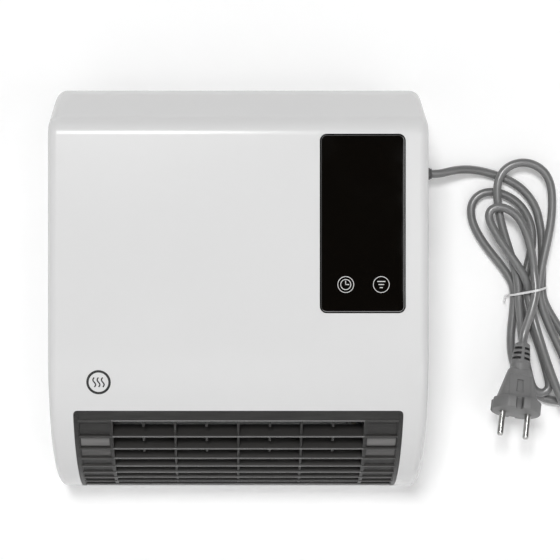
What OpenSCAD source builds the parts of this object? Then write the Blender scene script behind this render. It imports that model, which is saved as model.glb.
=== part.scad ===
// Bathroom wall fan heater: a deep gloss shell with a curved nose, a black touch panel,
// a louvred outlet, a cross-flow fan and a ceramic heating block inside.
// The heater hangs upright on the wall. X runs across it, Y runs into the wall and Z is up.
// The origin is the middle of the face that lies on the wall.

/* [Body] */
// Width across the side walls
body_w = 268; // [260:1:300]
// Height from the bottom edge to the top ledge
body_h = 296; // [286:1:320]
// Depth from the wall to the flat front
body_d = 125; // [121:1:135]
// Depth of the back shell, up to the parting line
back_d = 30; // [28:1:31]
// Wall thickness of both shells
shell_wall = 2.5; // [2.2:0.1:2.8]
// Radius that rounds the front into the sides
edge_r = 7; // [6:0.5:8]
// Depth at which the shoulder's slope would meet the top
ledge_d = 55; // [54:1:60]
// Radius of the soft bend from the top into the shoulder
ledge_r = 90; // [60:5:90]
// Drop of the shoulder's slope from the top to the front
shoulder_drop = 30; // [27:1:33]
// Radius of the tighter bend from the shoulder into the flat front
shoulder_r = 15; // [12:1:17]
// Height of the curved nose under the flat front
nose_h = 107; // [104:1:112]

/* [Outlet grille] */
// Width of the leg that the front shell keeps on each side of the outlet
leg_w = 17.2; // [16:0.2:19]
// Angle round the nose where the opening starts
outlet_start = 23; // [22.5:0.5:23.5]
// Angle round the nose of the first slat
first_slat = 27.6; // [27.2:0.2:28.4]
// Angle between the first slat and the second
slat_step = 7.5; // [7.1:0.1:7.6]
// Angle that the steps between the lower slats narrow towards
slat_step_low = 4.7; // [4.4:0.1:4.7]
// Number of slats
slat_count = 9; // [6:1:9]
// Thickness of a slat
slat_t = 1.6; // [1.2:0.1:2]
// Depth of the top slat behind the nose
slat_d = 13.5; // [11:0.5:13.5]
// Width of the closed panel at each end of the louvres
end_panel_w = 26.6; // [26:0.2:30]
// How far the dividers stand behind the slat edges
divider_back = 5; // [3:0.5:6]

/* [Touch panel] */
// Width of the glass
glass_w = 60; // [56:1:62]
// Height of the glass
glass_h = 125.5; // [118:0.5:128]
// Thickness of the glass
glass_t = 1.8; // [1.5:0.1:2]
// Distance from the right side wall to the middle of the glass
glass_in = 46.8; // [44:0.2:50]
// Middle of the glass above the heater's middle
glass_z = 46; // [42:1:50]
// Corner radius of the glass
glass_r = 4.7; // [3:0.1:6]

/* [Fan] */
// Outer diameter of the fan wheel
wheel_d = 60; // [56:1:61]
// Width kept beside the fan wheel for its bearings, the motor and the control board
side_room = 104; // [102:1:112]
// Number of blades
blade_count = 28; // [20:1:32]
// Number of blade sections between the discs
wheel_sections = 5; // [3:1:6]
// Distance of the fan's axis from the wall
fan_d = 66; // [64:1:68]
// Height of the fan's axis
fan_z = 20; // [16:1:24]
// Diameter of the fan's axle
axle_d = 4; // [3:0.5:5]
// Thickness of the steel end plates
plate_t = 1.2; // [1:0.1:1.5]

/* [Heating block] */
// Height of the block along the air flow
core_h = 16; // [12:1:18]
// Depth of the block from its wall side to its front side
core_d = 50; // [46:1:52]
// Drop of the block's middle below the top of the curved nose
core_drop = 15.9; // [12:0.1:20]
// Distance between the folds of the fins
fin_pitch = 3.2; // [2.6:0.2:4]

/* [Wall fixing] */
// Distance between the two keyholes
keyhole_span = 180; // [170:1:190]
// Distance of the keyholes below the top
keyhole_drop = 48; // [46:1:52]
// Diameter of the screw heads that pass
keyhole_d = 9; // [8:0.5:10]

/* [Mains cord] */
// Outer diameter of the cord
cord_d = 6.4; // [6:0.1:6.6]
// Height of the cord's outlet above the middle
cord_z = 87.5; // [86:0.5:89]
// Length of the cord's tapered sleeve
gland_len = 13; // [11:0.5:14]

/* [Hidden] */

$fn = 48;

// How far a piece that seats on another one stays off it
seat_gap = 0.05;
// Gap round a piece that drops into an opening
drop_gap = 0.3;

// ---- places that follow from the body's size ----
top_z = body_h / 2;
outlet_w = body_w - 2 * leg_w;
wheel_len = body_w - side_room;
glass_x = body_w / 2 - glass_in;
keyhole_z = top_z - keyhole_drop;

// ---- side view of the body: points are [depth from the wall, height] ----
nose_end = acos(back_d / body_d);
nose_z = nose_h * sin(nose_end) - top_z;
core_z = nose_z - core_drop;
slope_a = atan(shoulder_drop / (body_d - ledge_d));
slope_turn = 90 - slope_a;
shoulder_c = [body_d - shoulder_r,
  top_z - shoulder_drop - shoulder_r * (1 - sin(slope_a)) / cos(slope_a)];
ledge_c = [ledge_d - ledge_r * (1 - cos(slope_a)) / sin(slope_a), top_z - ledge_r];
nose_steps = 18;
round_steps = 5;

function unit(v) = v / norm(v);
function on_circle(a) = [cos(a), sin(a)];
function nose_at(a) = [body_d * cos(a), nose_z - nose_h * sin(a)];
function nose_out(a) = unit([cos(a) / body_d, -sin(a) / nose_h]);
// Depth of the front skin at a height
function front_at(z) =
  z < nose_z ? body_d * sqrt(1 - pow((nose_z - z) / nose_h, 2))
  : z < top_z - shoulder_drop ? body_d
  : ledge_d + (top_z - z) / tan(slope_a);

// Outline of the front shell from the parting line at the bottom up to the one at the top.
// Each entry is a point and the direction that points out of the body there.
outline = concat(
  [for (i = [0:nose_steps])
    let (a = nose_end * (1 - i / nose_steps))
    [nose_at(a), i == 0 ? [0, -1] : nose_out(a)]],
  [for (i = [0:round_steps])
    let (a = slope_turn * i / round_steps)
    [shoulder_c + shoulder_r * on_circle(a), on_circle(a)]],
  [for (i = [0:round_steps - 1])
    let (a = slope_turn + (90 - slope_turn) * i / (round_steps - 1))
    [ledge_c + ledge_r * on_circle(a), on_circle(a)]],
  [[[back_d, top_z], [0, 1]]]
);

// ---- general shapes ----
// A side view, drawn as [depth, height], run across the heater
module across(w, x = 0) {
  translate([x, 0, 0]) rotate([90, 0, -90]) linear_extrude(height = w, center = true) children();
}
// A front view, drawn as [x, height], run out from the wall between two depths
module outward(from, to) {
  translate([0, -from, 0]) rotate([90, 0, 0]) linear_extrude(height = to - from) children();
}
// A rod that stands out from the wall
module post(x, z, from, to, r, fn = 32) {
  translate([x, -from, z]) rotate([90, 0, 0]) cylinder(h = to - from, r = r, $fn = fn);
}
// A rod across the heater
module rod(from, to, depth, z, r, fn = 32) {
  translate([from, -depth, z]) rotate([0, 90, 0]) cylinder(h = to - from, r = r, $fn = fn);
}
// A box given by its corners, with depths counted from the wall
module block(x0, x1, d0, d1, z0, z1) {
  translate([x0, -d1, z0]) cube([x1 - x0, d1 - d0, z1 - z0]);
}
module round_rect(w, h, r) {
  square([w - 2 * r, h], center = true);
  square([w, h - 2 * r], center = true);
  for (x = [-1, 1], z = [-1, 1]) translate([x * (w / 2 - r), z * (h / 2 - r)]) circle(r = r);
}
// A strip along a path of points, with its thickness to the left of the path
function path_out(p, i) =
  let (a = p[max(i - 1, 0)], b = p[min(i + 1, len(p) - 1)], t = unit(b - a)) [-t[1], t[0]];
module strip(p, t) {
  polygon(concat(p, [for (i = [len(p) - 1:-1:0]) p[i] + t * path_out(p, i)]));
}

// A tube swept along a path, with flat ends square to it
module tube(path, r, sides, heading = [0, 1, 0]) {
  n = len(path);
  rings = [for (i = [0:n - 1])
    let (
      t = unit(path[min(i + 1, n - 1)] - path[max(i - 1, 0)]),
      s = unit(cross(t, heading)),
      u = cross(s, t)
    )
    for (j = [0:sides - 1])
      let (q = path[i] + r * (cos(360 * j / sides) * s + sin(360 * j / sides) * u)) [q[0], -q[1], q[2]]];
  polyhedron(
    points = rings,
    faces = concat(
      [[for (j = [sides - 1:-1:0]) j]],
      [for (i = [0:n - 2]) for (j = [0:sides - 1]) for (f = [0, 1])
        let (a = i * sides + j, b = i * sides + (j + 1) % sides)
        f == 0 ? [a, b, b + sides] : [a, b + sides, a + sides]],
      [[for (j = [0:sides - 1]) (n - 1) * sides + j]]
    ),
    convexity = 10
  );
}

// ---- shells ----
// Stations across a rounded skin: [x, how far the outline is drawn in]
function stations(half, r, inset) = concat(
  [for (i = [0:round_steps])
    let (a = 90 * i / round_steps) [-half + r * (1 - cos(a)), inset + r * (1 - sin(a))]],
  [for (i = [round_steps:-1:0])
    let (a = 90 * i / round_steps) [half - r * (1 - cos(a)), inset + r * (1 - sin(a))]]
);
function skin(rows) = [
  for (s = rows) for (p = outline)
    let (q = p[0] - s[1] * p[1])
    [s[0], -(p[1][0] == 0 ? p[0][0] : q[0]), q[1]]
];
outer_rows = stations(body_w / 2, edge_r, 0);
inner_rows = stations(body_w / 2 - shell_wall, edge_r - shell_wall, shell_wall);
n_out = len(outline);
n_row = len(outer_rows);

module shell_skin() {
  last = n_out - 1;
  end = n_row - 1;
  far = n_out * n_row;
  // outer and inner point numbers
  function o(j, i) = j * n_out + i;
  function n(j, i) = far + o(j, i);
  polyhedron(
    points = concat(skin(outer_rows), skin(inner_rows)),
    faces = concat(
      [for (j = [0:end - 1]) for (i = [0:last - 1]) for (f = [0, 1])
        f == 0 ? [o(j, i), o(j, i + 1), o(j + 1, i + 1)] : [o(j, i), o(j + 1, i + 1), o(j + 1, i)]],
      [for (j = [0:end - 1]) for (i = [0:last - 1]) for (f = [0, 1])
        f == 0 ? [n(j, i), n(j + 1, i + 1), n(j, i + 1)] : [n(j, i), n(j + 1, i), n(j + 1, i + 1)]],
      [[for (i = [last:-1:0]) o(0, i)], [for (i = [0:last]) o(end, i)]],
      [[for (i = [0:last]) n(0, i)], [for (i = [last:-1:0]) n(end, i)]],
      [for (j = [0:end - 1]) [o(j, 0), o(j + 1, 0), n(j + 1, 0), n(j, 0)]],
      [for (j = [0:end - 1]) [n(j, last), n(j + 1, last), o(j + 1, last), o(j, last)]],
      [[o(0, 0), n(0, 0), n(0, last), o(0, last)], [n(end, 0), o(end, 0), o(end, last), n(end, last)]]
    ),
    convexity = 6
  );
}

// Case screws: two by the top, two in the legs beside the outlet
screw_r = 2;
screw_head_r = 3.8;
case_boss_r = 5.2;
boss_x = [body_w / 2 - 20, body_w / 2 - shell_wall - case_boss_r - 0.3];
boss_z = [top_z - 29.5, -top_z + 45.5];
boss_split = back_d + 8;
// Each case screw: [x, height, depth at which its boss runs into the front skin]
boss_grip = [3, 1.8];
case_spots = [for (s = [-1, 1]) for (k = [0, 1]) [s * boss_x[k], boss_z[k],
  min(front_at(boss_z[k] - case_boss_r), front_at(boss_z[k] + case_boss_r)) - boss_grip[k]]];

outlet_top = nose_at(outlet_start)[1];
outlet_r = 3;
grille_w = outlet_w - 2 * drop_gap;
panel_w = (grille_w - 2 * end_panel_w) / 4;
glass_pocket = glass_t + 0.1;
glass_pad = 2.2;
glass_spot = [glass_x, glass_z];
window_w = glass_w - 16;
window_h = glass_h - 22;
board_posts = [for (x = [-1, 1]) for (z = [-1, 1])
  [glass_x + x * (glass_w / 2 - 3.5), glass_z + z * (glass_h / 2 - 5)]];
board_front = body_d - 11;
board_t = 1.6;

module front_shell() {
  color("whitesmoke") difference() {
    union() {
      shell_skin();
      for (s = case_spots)
        post(s[0], s[1], boss_split + seat_gap, s[2], case_boss_r - 1);
      // pad that thickens the wall behind the glass
      outward(body_d - glass_pocket - glass_pad, body_d - shell_wall / 2)
        translate(glass_spot) square([glass_w + 5, glass_h + 5], center = true);
      for (p = board_posts)
        post(p[0], p[1], board_front + seat_gap, body_d - shell_wall / 2, 2.8);
    }
    // seat of the glass and the window behind it
    outward(body_d - glass_pocket, body_d + 1) translate(glass_spot)
      round_rect(glass_w + drop_gap, glass_h + drop_gap, glass_r + drop_gap / 2);
    outward(body_d - 12, body_d + 1) translate(glass_spot) square([window_w, window_h], center = true);
    // outlet, open through the lower edge
    outward(back_d - 1, body_d + 1) {
      translate([-outlet_w / 2, -top_z - 5]) square([outlet_w, outlet_top - outlet_r + top_z + 5]);
      translate([-outlet_w / 2 + outlet_r, -top_z - 5])
        square([outlet_w - 2 * outlet_r, outlet_top + top_z + 5]);
      for (s = [-1, 1]) translate([s * (outlet_w / 2 - outlet_r), outlet_top - outlet_r])
        circle(r = outlet_r);
    }
    for (s = case_spots) post(s[0], s[1], boss_split - 1, boss_split + 14, screw_r - 0.4, 24);
    for (p = board_posts) post(p[0], p[1], board_front - 1, board_front + 6, 0.9, 24);
  }
}

// Keyholes, with a closed pocket behind each so that no screw reaches the works
keyhole_slot = 4.6;
keyhole_rise = 9;
pocket_d = 11;
// Air inlet: slots through the top of the back shell
inlet_slot = 4;
inlet_pitch = 8;
inlet_w = body_w - 56;
inlet_n = floor(inlet_w / inlet_pitch);
inlet_from = 8;
lip_t = 1.4;
lip_h = 4;

// Rocker switch in the right side wall
switch_d = 15;
switch_z = 44;
switch_hole = [13, 19.4];
switch_face = [15, 21.6];
switch_deep = 15;
rocker_tilt = 9;

cord_depth = 15;
gland_r = 6;

// Fan, end plates and ducts
fan_c = [fan_d, fan_z];
wheel_r = wheel_d / 2;
fan_mid = -5;
wheel_x0 = fan_mid - wheel_len / 2;
wheel_x1 = fan_mid + wheel_len / 2;
plate_gap = 4;
plate_x0 = wheel_x0 - plate_gap;
plate_x1 = wheel_x1 + plate_gap;
duct_w = plate_x1 - plate_x0 - 2 * seat_gap;
duct_t = 1.2;
axle_r = axle_d / 2;
axle_clear = 0.05;

core_front = fan_d + 30;
core_back = core_front - core_d;
duct_back_x = core_back - 0.6;
duct_front_x = core_front + 0.6;
// Feet that screw the end plates to the back shell
foot_z = [keyhole_z - 20, -top_z + 45];
foot_w = 14;
foot_boss = 6;
foot_len = 12;
foot_x = [plate_x0 - (plate_t + foot_len) / 2, plate_x1 + (plate_t + foot_len) / 2];

board_x0 = plate_x1 + 9;
board_x1 = body_w / 2 - shell_wall - 3;
board_z0 = -top_z + 60;
board_z1 = switch_z - 32;
board_d = 12;
control_posts = [for (x = [board_x0 + 4, board_x1 - 4]) for (z = [board_z0 + 4, board_z1 - 4]) [x, z]];

clamp_x = body_w / 2 - 24;
clamp_span = 15;

module keyhole() {
  circle(r = keyhole_d / 2);
  translate([-keyhole_slot / 2, 0]) square([keyhole_slot, keyhole_rise]);
  translate([0, keyhole_rise]) circle(r = keyhole_slot / 2);
}
module tray(grow, r) {
  round_rect(body_w - 2 * grow, body_h - 2 * grow, r);
}
module rear_shell() {
  color("white") difference() {
    union() {
      difference() {
        outward(0, back_d) tray(0, edge_r);
        outward(shell_wall, back_d + 1) tray(shell_wall, edge_r - shell_wall);
      }
      // lip that enters the front shell
      difference() {
        outward(back_d - lip_h, back_d + lip_h) tray(shell_wall + 0.15, edge_r - shell_wall - 0.15);
        outward(back_d - lip_h - 1, back_d + lip_h + 1)
          tray(shell_wall + lip_t, edge_r - shell_wall - lip_t);
        // no lip along the bottom, where the shell curves in and the grille's tongue goes
        outward(shell_wall, back_d + lip_h + 1)
          translate([0, -top_z]) square([body_w, 4 * edge_r], center = true);
      }
      for (s = case_spots) post(s[0], s[1], shell_wall / 2, boss_split - seat_gap, case_boss_r);
      for (s = [-1, 1]) block(s * keyhole_span / 2 - 8, s * keyhole_span / 2 + 8,
        shell_wall / 2, pocket_d + shell_wall, keyhole_z - 9, keyhole_z + keyhole_rise + 7);
      // bosses for the end plates, the board and the cord clamp
      for (x = foot_x) for (z = foot_z)
        post(x, z, shell_wall / 2, foot_boss + shell_wall, 4);
      for (p = control_posts) post(p[0], p[1], shell_wall / 2, board_d - seat_gap, 2.8);
      for (s = [-1, 1]) post(clamp_x, cord_z + s * clamp_span / 2, shell_wall / 2, cord_depth, 3.2);
      // stiffening ribs on the floor of the tray
      for (z = [-70, -20, 30]) block(plate_x0 + 12, plate_x1 - 12, shell_wall / 2, shell_wall + 4,
        z - 0.8, z + 0.8);
      for (x = [-50, 40]) block(x - 0.8, x + 0.8, shell_wall / 2, shell_wall + 4, -90, 60);
    }
    for (s = [-1, 1]) {
      outward(-1, pocket_d) translate([s * keyhole_span / 2, keyhole_z]) circle(r = keyhole_d / 2);
      outward(-1, shell_wall) translate([s * keyhole_span / 2, keyhole_z]) keyhole();
      block(s * keyhole_span / 2 - keyhole_d / 2 - 0.5, s * keyhole_span / 2 + keyhole_d / 2 + 0.5,
        shell_wall, pocket_d, keyhole_z - keyhole_d / 2 - 0.5, keyhole_z + keyhole_rise + keyhole_d / 2);
    }
    // screw wells
    for (s = case_spots) {
      post(s[0], s[1], -1, boss_split - 8, screw_head_r + 0.2);
      post(s[0], s[1], -1, boss_split + 1, screw_r + 0.2, 24);
    }
    for (x = foot_x) for (z = foot_z)
      post(x, z, shell_wall, foot_boss + shell_wall + 1, 1.2, 24);
    for (p = control_posts) post(p[0], p[1], board_d - 6, board_d + 1, 0.9, 24);
    for (s = [-1, 1]) post(clamp_x, cord_z + s * clamp_span / 2, cord_depth - 8, cord_depth + 1, 1.1, 24);
    // air inlet
    for (i = [0:inlet_n - 1])
      translate([(i - (inlet_n - 1) / 2) * inlet_pitch, 0, top_z]) block(-inlet_slot / 2, inlet_slot / 2,
        inlet_from, back_d - 5, -shell_wall - 1, 1);
    // cord outlet and switch in the right wall
    rod(body_w / 2 - shell_wall - 4, body_w / 2 + 1, cord_depth, cord_z, gland_r - 1.6);
    block(body_w / 2 - shell_wall - 4, body_w / 2 + 1, switch_d - switch_hole[0] / 2,
      switch_d + switch_hole[0] / 2, switch_z - switch_hole[1] / 2, switch_z + switch_hole[1] / 2);
  }
}

// ---- outlet grille ----
// Angle of each slat: the steps between them narrow downwards
function slat_at(k) = k == 0 ? first_slat
  : slat_at(k - 1) + slat_step_low + (slat_step - slat_step_low) * pow(0.62, k - 1);
// The lower slats are shallower, as they stand closer
function slat_deep(k) = slat_d * (1 - 0.4 * k / (slat_count - 1));
// Length round the nose between two angles
function nose_arc(a, b) = (b - a) * PI / 180
  * norm([body_d * sin((a + b) / 2), nose_h * cos((a + b) / 2)]);
// Points round the nose, at a depth behind it that may change from one end to the other
function nose_points(from, to, d0, d1, steps) = [
  for (i = [0:steps]) let (t = i / steps, a = from + (to - from) * t)
    nose_at(a) - (d0 + (d1 - d0) * t) * nose_out(a)
];
module nose_strip(from, to, near, deep, steps = 12, deep_end = undef) {
  last = deep_end == undef ? deep : deep_end;
  polygon(concat(nose_points(from, to, near, near, steps), nose_points(to, from, last, deep, steps)));
}
// A box set on the nose at an angle: up is along the surface, out is square to it
module on_nose(a, x0, x1, near, deep, low, high) {
  p = nose_at(a);
  n = nose_out(a);
  translate([0, -p[0], p[1]]) rotate([atan2(-n[1], n[0]), 0, 0]) block(x0, x1, -deep, -near, low, high);
}
grille_t = 2.6;
field_w = 4 * panel_w;
last_slat = slat_at(slat_count - 1);
grille_end = nose_end + 1;
rim_w = 2.6;
end_gap = 1.6;
// The plate lies a little behind the rim and the slat edges, and the recesses deeper still
plate_sink = 0.5;
recess_deep = 1.6;

module grille_front() {
  translate([-grille_w / 2, -top_z - 5]) square([grille_w, outlet_top - outlet_r + top_z + 5 - drop_gap]);
  translate([-grille_w / 2 + outlet_r, -top_z - 5])
    square([grille_w - 2 * outlet_r, outlet_top + top_z + 5 - drop_gap]);
  for (s = [-1, 1]) translate([s * (grille_w / 2 - outlet_r), outlet_top - outlet_r - drop_gap])
    circle(r = outlet_r);
}
module outlet_grille() {
  side = grille_w / 2 - rim_w;
  color([0.2, 0.2, 0.2]) union() {
    intersection() {
      union() {
        difference() {
          across(grille_w) nose_strip(outlet_start - 2, grille_end, plate_sink, grille_t, 20);
          across(field_w) nose_strip(first_slat + 0.4, last_slat - 0.4, -1, grille_t + 1);
          // closed louvres of the two end panels
          for (s = [-1, 1]) for (k = [0:slat_count - 2]) {
            a = slat_at(k);
            b = slat_at(k + 1);
            half = nose_arc(a, b) / 2 - slat_t / 2 - 0.5;
            ends = [s * (field_w / 2 + end_gap), s * (side - 0.8)];
            on_nose((a + b) / 2, min(ends), max(ends), -1, recess_deep, -half, half);
          }
        }
        // raised rim at each side
        for (s = [-1, 1]) across(rim_w, s * (grille_w - rim_w) / 2)
          nose_strip(outlet_start - 2, grille_end, 0, grille_t, 20);
      }
      outward(back_d + 0.2, body_d + 5) grille_front();
    }
    for (k = [0:slat_count - 1]) {
      on_nose(slat_at(k), -field_w / 2 - 1, field_w / 2 + 1, 0.1, slat_deep(k), -slat_t / 2, slat_t / 2);
      // the slats' edges run on as ridges over the end panels
      on_nose(slat_at(k), -side - 0.5, side + 0.5, 0.1, 1.9, -slat_t / 2, slat_t / 2);
    }
    // dividers between the panels and at their ends
    for (i = [-2:2]) across(slat_t, i * panel_w) nose_strip(first_slat, last_slat,
      abs(i) == 2 ? plate_sink : divider_back, slat_d - 1.5, 12, slat_deep(slat_count - 1) - 1.5);
    // short ribs in the middle of each panel, under the first three slats
    for (i = [-1.5:1:1.5]) for (k = [0:2])
      on_nose(slat_at(k), i * panel_w - slat_t / 2, i * panel_w + slat_t / 2, divider_back,
        slat_d - 1.5, -4, 0);
    // flange that lies behind the upper edge of the opening
    intersection() {
      across(grille_w - 16) nose_strip(outlet_start - 4, outlet_start + 3, shell_wall + 0.35,
        shell_wall + 2);
      outward(back_d, body_d) translate([0, outlet_top]) square([grille_w, 40], center = true);
    }
    across(grille_w - 16) nose_strip(outlet_start + 1.8, outlet_start + 3, 1, shell_wall + 2, 2);
    // tongue that slips in over the back shell's lower wall
    block(-grille_w / 2 + 4, grille_w / 2 - 4, back_d - 5, back_d + 6, -top_z + shell_wall + seat_gap,
      -top_z + shell_wall + 1.7);
  }
}

// ---- touch panel ----
module display_glass() {
  color([0.04, 0.04, 0.04]) outward(body_d - glass_pocket + seat_gap, body_d)
    translate(glass_spot) round_rect(glass_w, glass_h, glass_r);
}
module display_board() {
  color("darkgreen") difference() {
    outward(board_front - board_t, board_front) translate(glass_spot)
      square([glass_w - 1, glass_h - 3], center = true);
    for (p = board_posts) post(p[0], p[1], board_front - board_t - 1, board_front + 1, 1.4, 24);
  }
}
module_w = 34;
module_h = 22;
module_z = glass_h / 2 - module_h - 18.75;
key_x = [-12, 13];
key_z = 16.75 - glass_h / 2;
module display_module() {
  color("gray") difference() {
    outward(board_front + seat_gap, body_d - glass_pocket - 0.3)
      translate([glass_x, glass_z + module_z]) square([module_w, module_h], center = true);
    for (s = [-1, 1])
      outward(body_d - glass_pocket - 1.3, body_d) translate([glass_x + s * 8, glass_z + module_z])
        square([11, 17], center = true);
  }
}
module touch_springs() {
  color("silver") for (x = key_x)
    post(glass_x + x, glass_z + key_z, board_front + seat_gap, body_d - glass_pocket - 0.3, 4);
}

// ---- ducts and end plates ----
rear_path = concat(
  [for (a = [122:12:218]) fan_c + (wheel_r + 3 + (a - 122) / 96 * 7) * on_circle(a)],
  [[duct_back_x, core_z + core_h / 2 + 12], [duct_back_x, core_z - core_h / 2 - 4],
    [back_d + 5, -top_z + 18], [back_d + 4, -top_z + 8]]
);
front_path = [
  fan_c + (wheel_r + 3.4) * on_circle(-22), fan_c + (wheel_r + 3.2) * on_circle(-32),
  [duct_front_x, core_z + core_h / 2 + 24], [duct_front_x, core_z - core_h / 2 - 4],
  nose_at(first_slat - 1) - (slat_d + 2) * nose_out(first_slat - 1)
];
module duct_rear() {
  color("lightgray") across(duct_w, fan_mid)
    strip([for (i = [len(rear_path) - 1:-1:0]) rear_path[i]], duct_t);
}
module duct_front() {
  color("lightgray") across(duct_w, fan_mid) strip(front_path, duct_t);
}
// Outline of an end plate, a little past the ducts
plate_shape = [
  [foot_boss + shell_wall + seat_gap, foot_z[0] - foot_w / 2],
    [foot_boss + shell_wall + seat_gap, foot_z[0] + foot_w / 2],
  [fan_d - 20, fan_z + wheel_r + 18], [fan_d + 12, fan_z + wheel_r + 16], [fan_d + wheel_r + 8, fan_z + 14],
  [duct_front_x + 4, core_z + core_h], [duct_front_x + 4, core_z - core_h],
  [duct_front_x - 8, -top_z + 62], [back_d + 28, -top_z + 38], [back_d + 4, -top_z + 26],
  [foot_boss + shell_wall + seat_gap, foot_z[1] - foot_w / 2],
    [foot_boss + shell_wall + seat_gap, foot_z[1] + foot_w / 2],
  [28, foot_z[1] + foot_w / 2 + 14], [28, foot_z[0] - foot_w / 2 - 14]
];
module end_plate(x, out, hole_r) {
  difference() {
    union() {
      across(plate_t, x + out * plate_t / 2) polygon(plate_shape);
      for (z = foot_z) block(min(x, x + out * foot_len), max(x, x + out * foot_len),
        foot_boss + shell_wall + seat_gap, foot_boss + shell_wall + seat_gap + plate_t,
          z - foot_w / 2, z + foot_w / 2);
    }
    rod(x - 5, x + 5, fan_d, fan_z, hole_r);
    for (z = foot_z) post(x + out * (plate_t + foot_len) / 2, z, foot_boss,
      foot_boss + shell_wall + 5, 1.7, 24);
  }
}
motor_span = 54;
module end_plate_left() {
  color("silver") difference() {
    end_plate(plate_x0, -1, 9);
    for (s = [-1, 1]) rod(plate_x0 - 5, plate_x0 + 5, fan_d + s * motor_span / 2, fan_z, 2.1, 24);
  }
}
rubber_r = 9;
bush_r = 5;
bearing_len = 7;
module end_plate_right() {
  color("silver") difference() {
    end_plate(plate_x1, 1, rubber_r - 1.5);
    // window for the heating block's terminals
    block(plate_x1 - 1, plate_x1 + plate_t + 1, core_back + 4, core_front - 4, core_z - 5.5, core_z + 5.5);
  }
}

// ---- fan wheel and its bearings ----
disc_t = 1.5;
hub_r = 8;
hub_len = 12;
blade_len = 9;
blade_r = 8;
module blade_section() {
  // crescent blades set round the rim, all curved the same way
  for (i = [0:blade_count - 1]) rotate(i * 360 / blade_count)
    translate([wheel_r - blade_len / 2, 0]) intersection() {
      difference() {
        translate([0.5, -blade_r + 1]) circle(r = blade_r);
        translate([0.7, -blade_r - 0.1]) circle(r = blade_r + 0.25);
      }
      translate([-blade_len / 2 + 0.2, -4]) square([blade_len - 0.5, 8]);
    }
}
module fan_wheel() {
  gap = (wheel_len - disc_t) / wheel_sections;
  color("dimgray") difference() {
    union() {
      translate([wheel_x0, -fan_d, fan_z]) rotate([90, 0, 90])
        linear_extrude(height = wheel_len) blade_section();
      for (k = [0:wheel_sections]) difference() {
        rod(wheel_x0 + k * gap, wheel_x0 + k * gap + disc_t, fan_d, fan_z, wheel_r, 64);
        if (k > 0 && k < wheel_sections)
          rod(wheel_x0 + k * gap - 1, wheel_x0 + k * gap + disc_t + 1, fan_d, fan_z,
            wheel_r - blade_len, 64);
      }
      rod(wheel_x0, wheel_x0 + hub_len, fan_d, fan_z, hub_r);
      rod(wheel_x1 - hub_len, wheel_x1, fan_d, fan_z, hub_r);
    }
    rod(wheel_x0 - 1, wheel_x0 + hub_len - 2, fan_d, fan_z, axle_r + 0.02);
    rod(wheel_x1 - hub_len + 2, wheel_x1 + 1, fan_d, fan_z, axle_r + 0.02);
  }
}
stack_t = 14;
bracket_d = 9;
motor_mid = plate_x0 - plate_t - 3 - bracket_d - stack_t / 2;
motor_end = motor_mid - stack_t / 2 - bracket_d;
module motor_shaft() {
  color("silver") rod(motor_end + 1, wheel_x0 + hub_len - 2.2, fan_d, fan_z, axle_r);
}
module wheel_stub() {
  color("silver") rod(wheel_x1 - hub_len + 2.2, plate_x1 + plate_t + bearing_len - 1, fan_d, fan_z, axle_r);
}
module bearing_bush() {
  color("goldenrod") difference() {
    rod(plate_x1 - 1, plate_x1 + plate_t + bearing_len, fan_d, fan_z, bush_r);
    rod(plate_x1 - 2, plate_x1 + plate_t + bearing_len + 1, fan_d, fan_z, axle_r + axle_clear);
  }
}
module bearing_rubber() {
  color([0.15, 0.15, 0.15]) difference() {
    union() {
      rod(plate_x1 + plate_t + seat_gap, plate_x1 + plate_t + bearing_len - 1, fan_d, fan_z, rubber_r);
      rod(plate_x1 - 1.5, plate_x1 + plate_t + 1, fan_d, fan_z, rubber_r - 1.5 - seat_gap);
    }
    rod(plate_x1 - 3, plate_x1 + plate_t + bearing_len + 1, fan_d, fan_z, bush_r + seat_gap);
  }
}

// ---- shaded-pole motor ----
stack_w = 40;
stack_low = 22;
stack_high = 34;
rotor_r = 11;
coil_w = 22;
module motor_stack() {
  color("slategray") difference() {
    across(stack_t, motor_mid) translate([fan_d - stack_w / 2, fan_z - stack_low])
      square([stack_w, stack_low + stack_high]);
    // window for the coil, leaving the yoke across its top
    across(stack_t + 2, motor_mid) translate([fan_d - stack_w / 2 - 1, fan_z + stack_high - 18])
      square([(stack_w - 10) / 2 + 1, 12]);
    across(stack_t + 2, motor_mid) translate([fan_d + 5, fan_z + stack_high - 18])
      square([(stack_w - 10) / 2 + 1, 12]);
    rod(motor_mid - stack_t, motor_mid + stack_t, fan_d, fan_z, rotor_r + 0.5);
    for (s = [-1, 1]) rod(motor_mid - stack_t, motor_mid + stack_t, fan_d + s * (stack_w / 2 - 4),
      fan_z - stack_low + 5, 1.9, 24);
    for (s = [-1, 1]) rod(motor_mid - stack_t, motor_mid + stack_t, fan_d + s * (stack_w / 2 - 4),
      fan_z + 12, 1.9, 24);
  }
}
module motor_coil() {
  color("peru") difference() {
    block(motor_mid - stack_t / 2 - 6, motor_mid + stack_t / 2 + 6, fan_d - coil_w / 2, fan_d + coil_w / 2,
      fan_z + stack_high - 17.7, fan_z + stack_high - 6.3);
    block(motor_mid - stack_t / 2 - seat_gap, motor_mid + stack_t / 2 + seat_gap, fan_d - 5 - seat_gap,
      fan_d + 5 + seat_gap, fan_z, fan_z + stack_high);
  }
}
module motor_rotor() {
  color("silver") difference() {
    rod(motor_mid - stack_t / 2 - 2, motor_mid + stack_t / 2 + 2, fan_d, fan_z, rotor_r);
    rod(motor_mid - stack_t, motor_mid + stack_t, fan_d, fan_z, axle_r + 0.02);
  }
}
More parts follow.
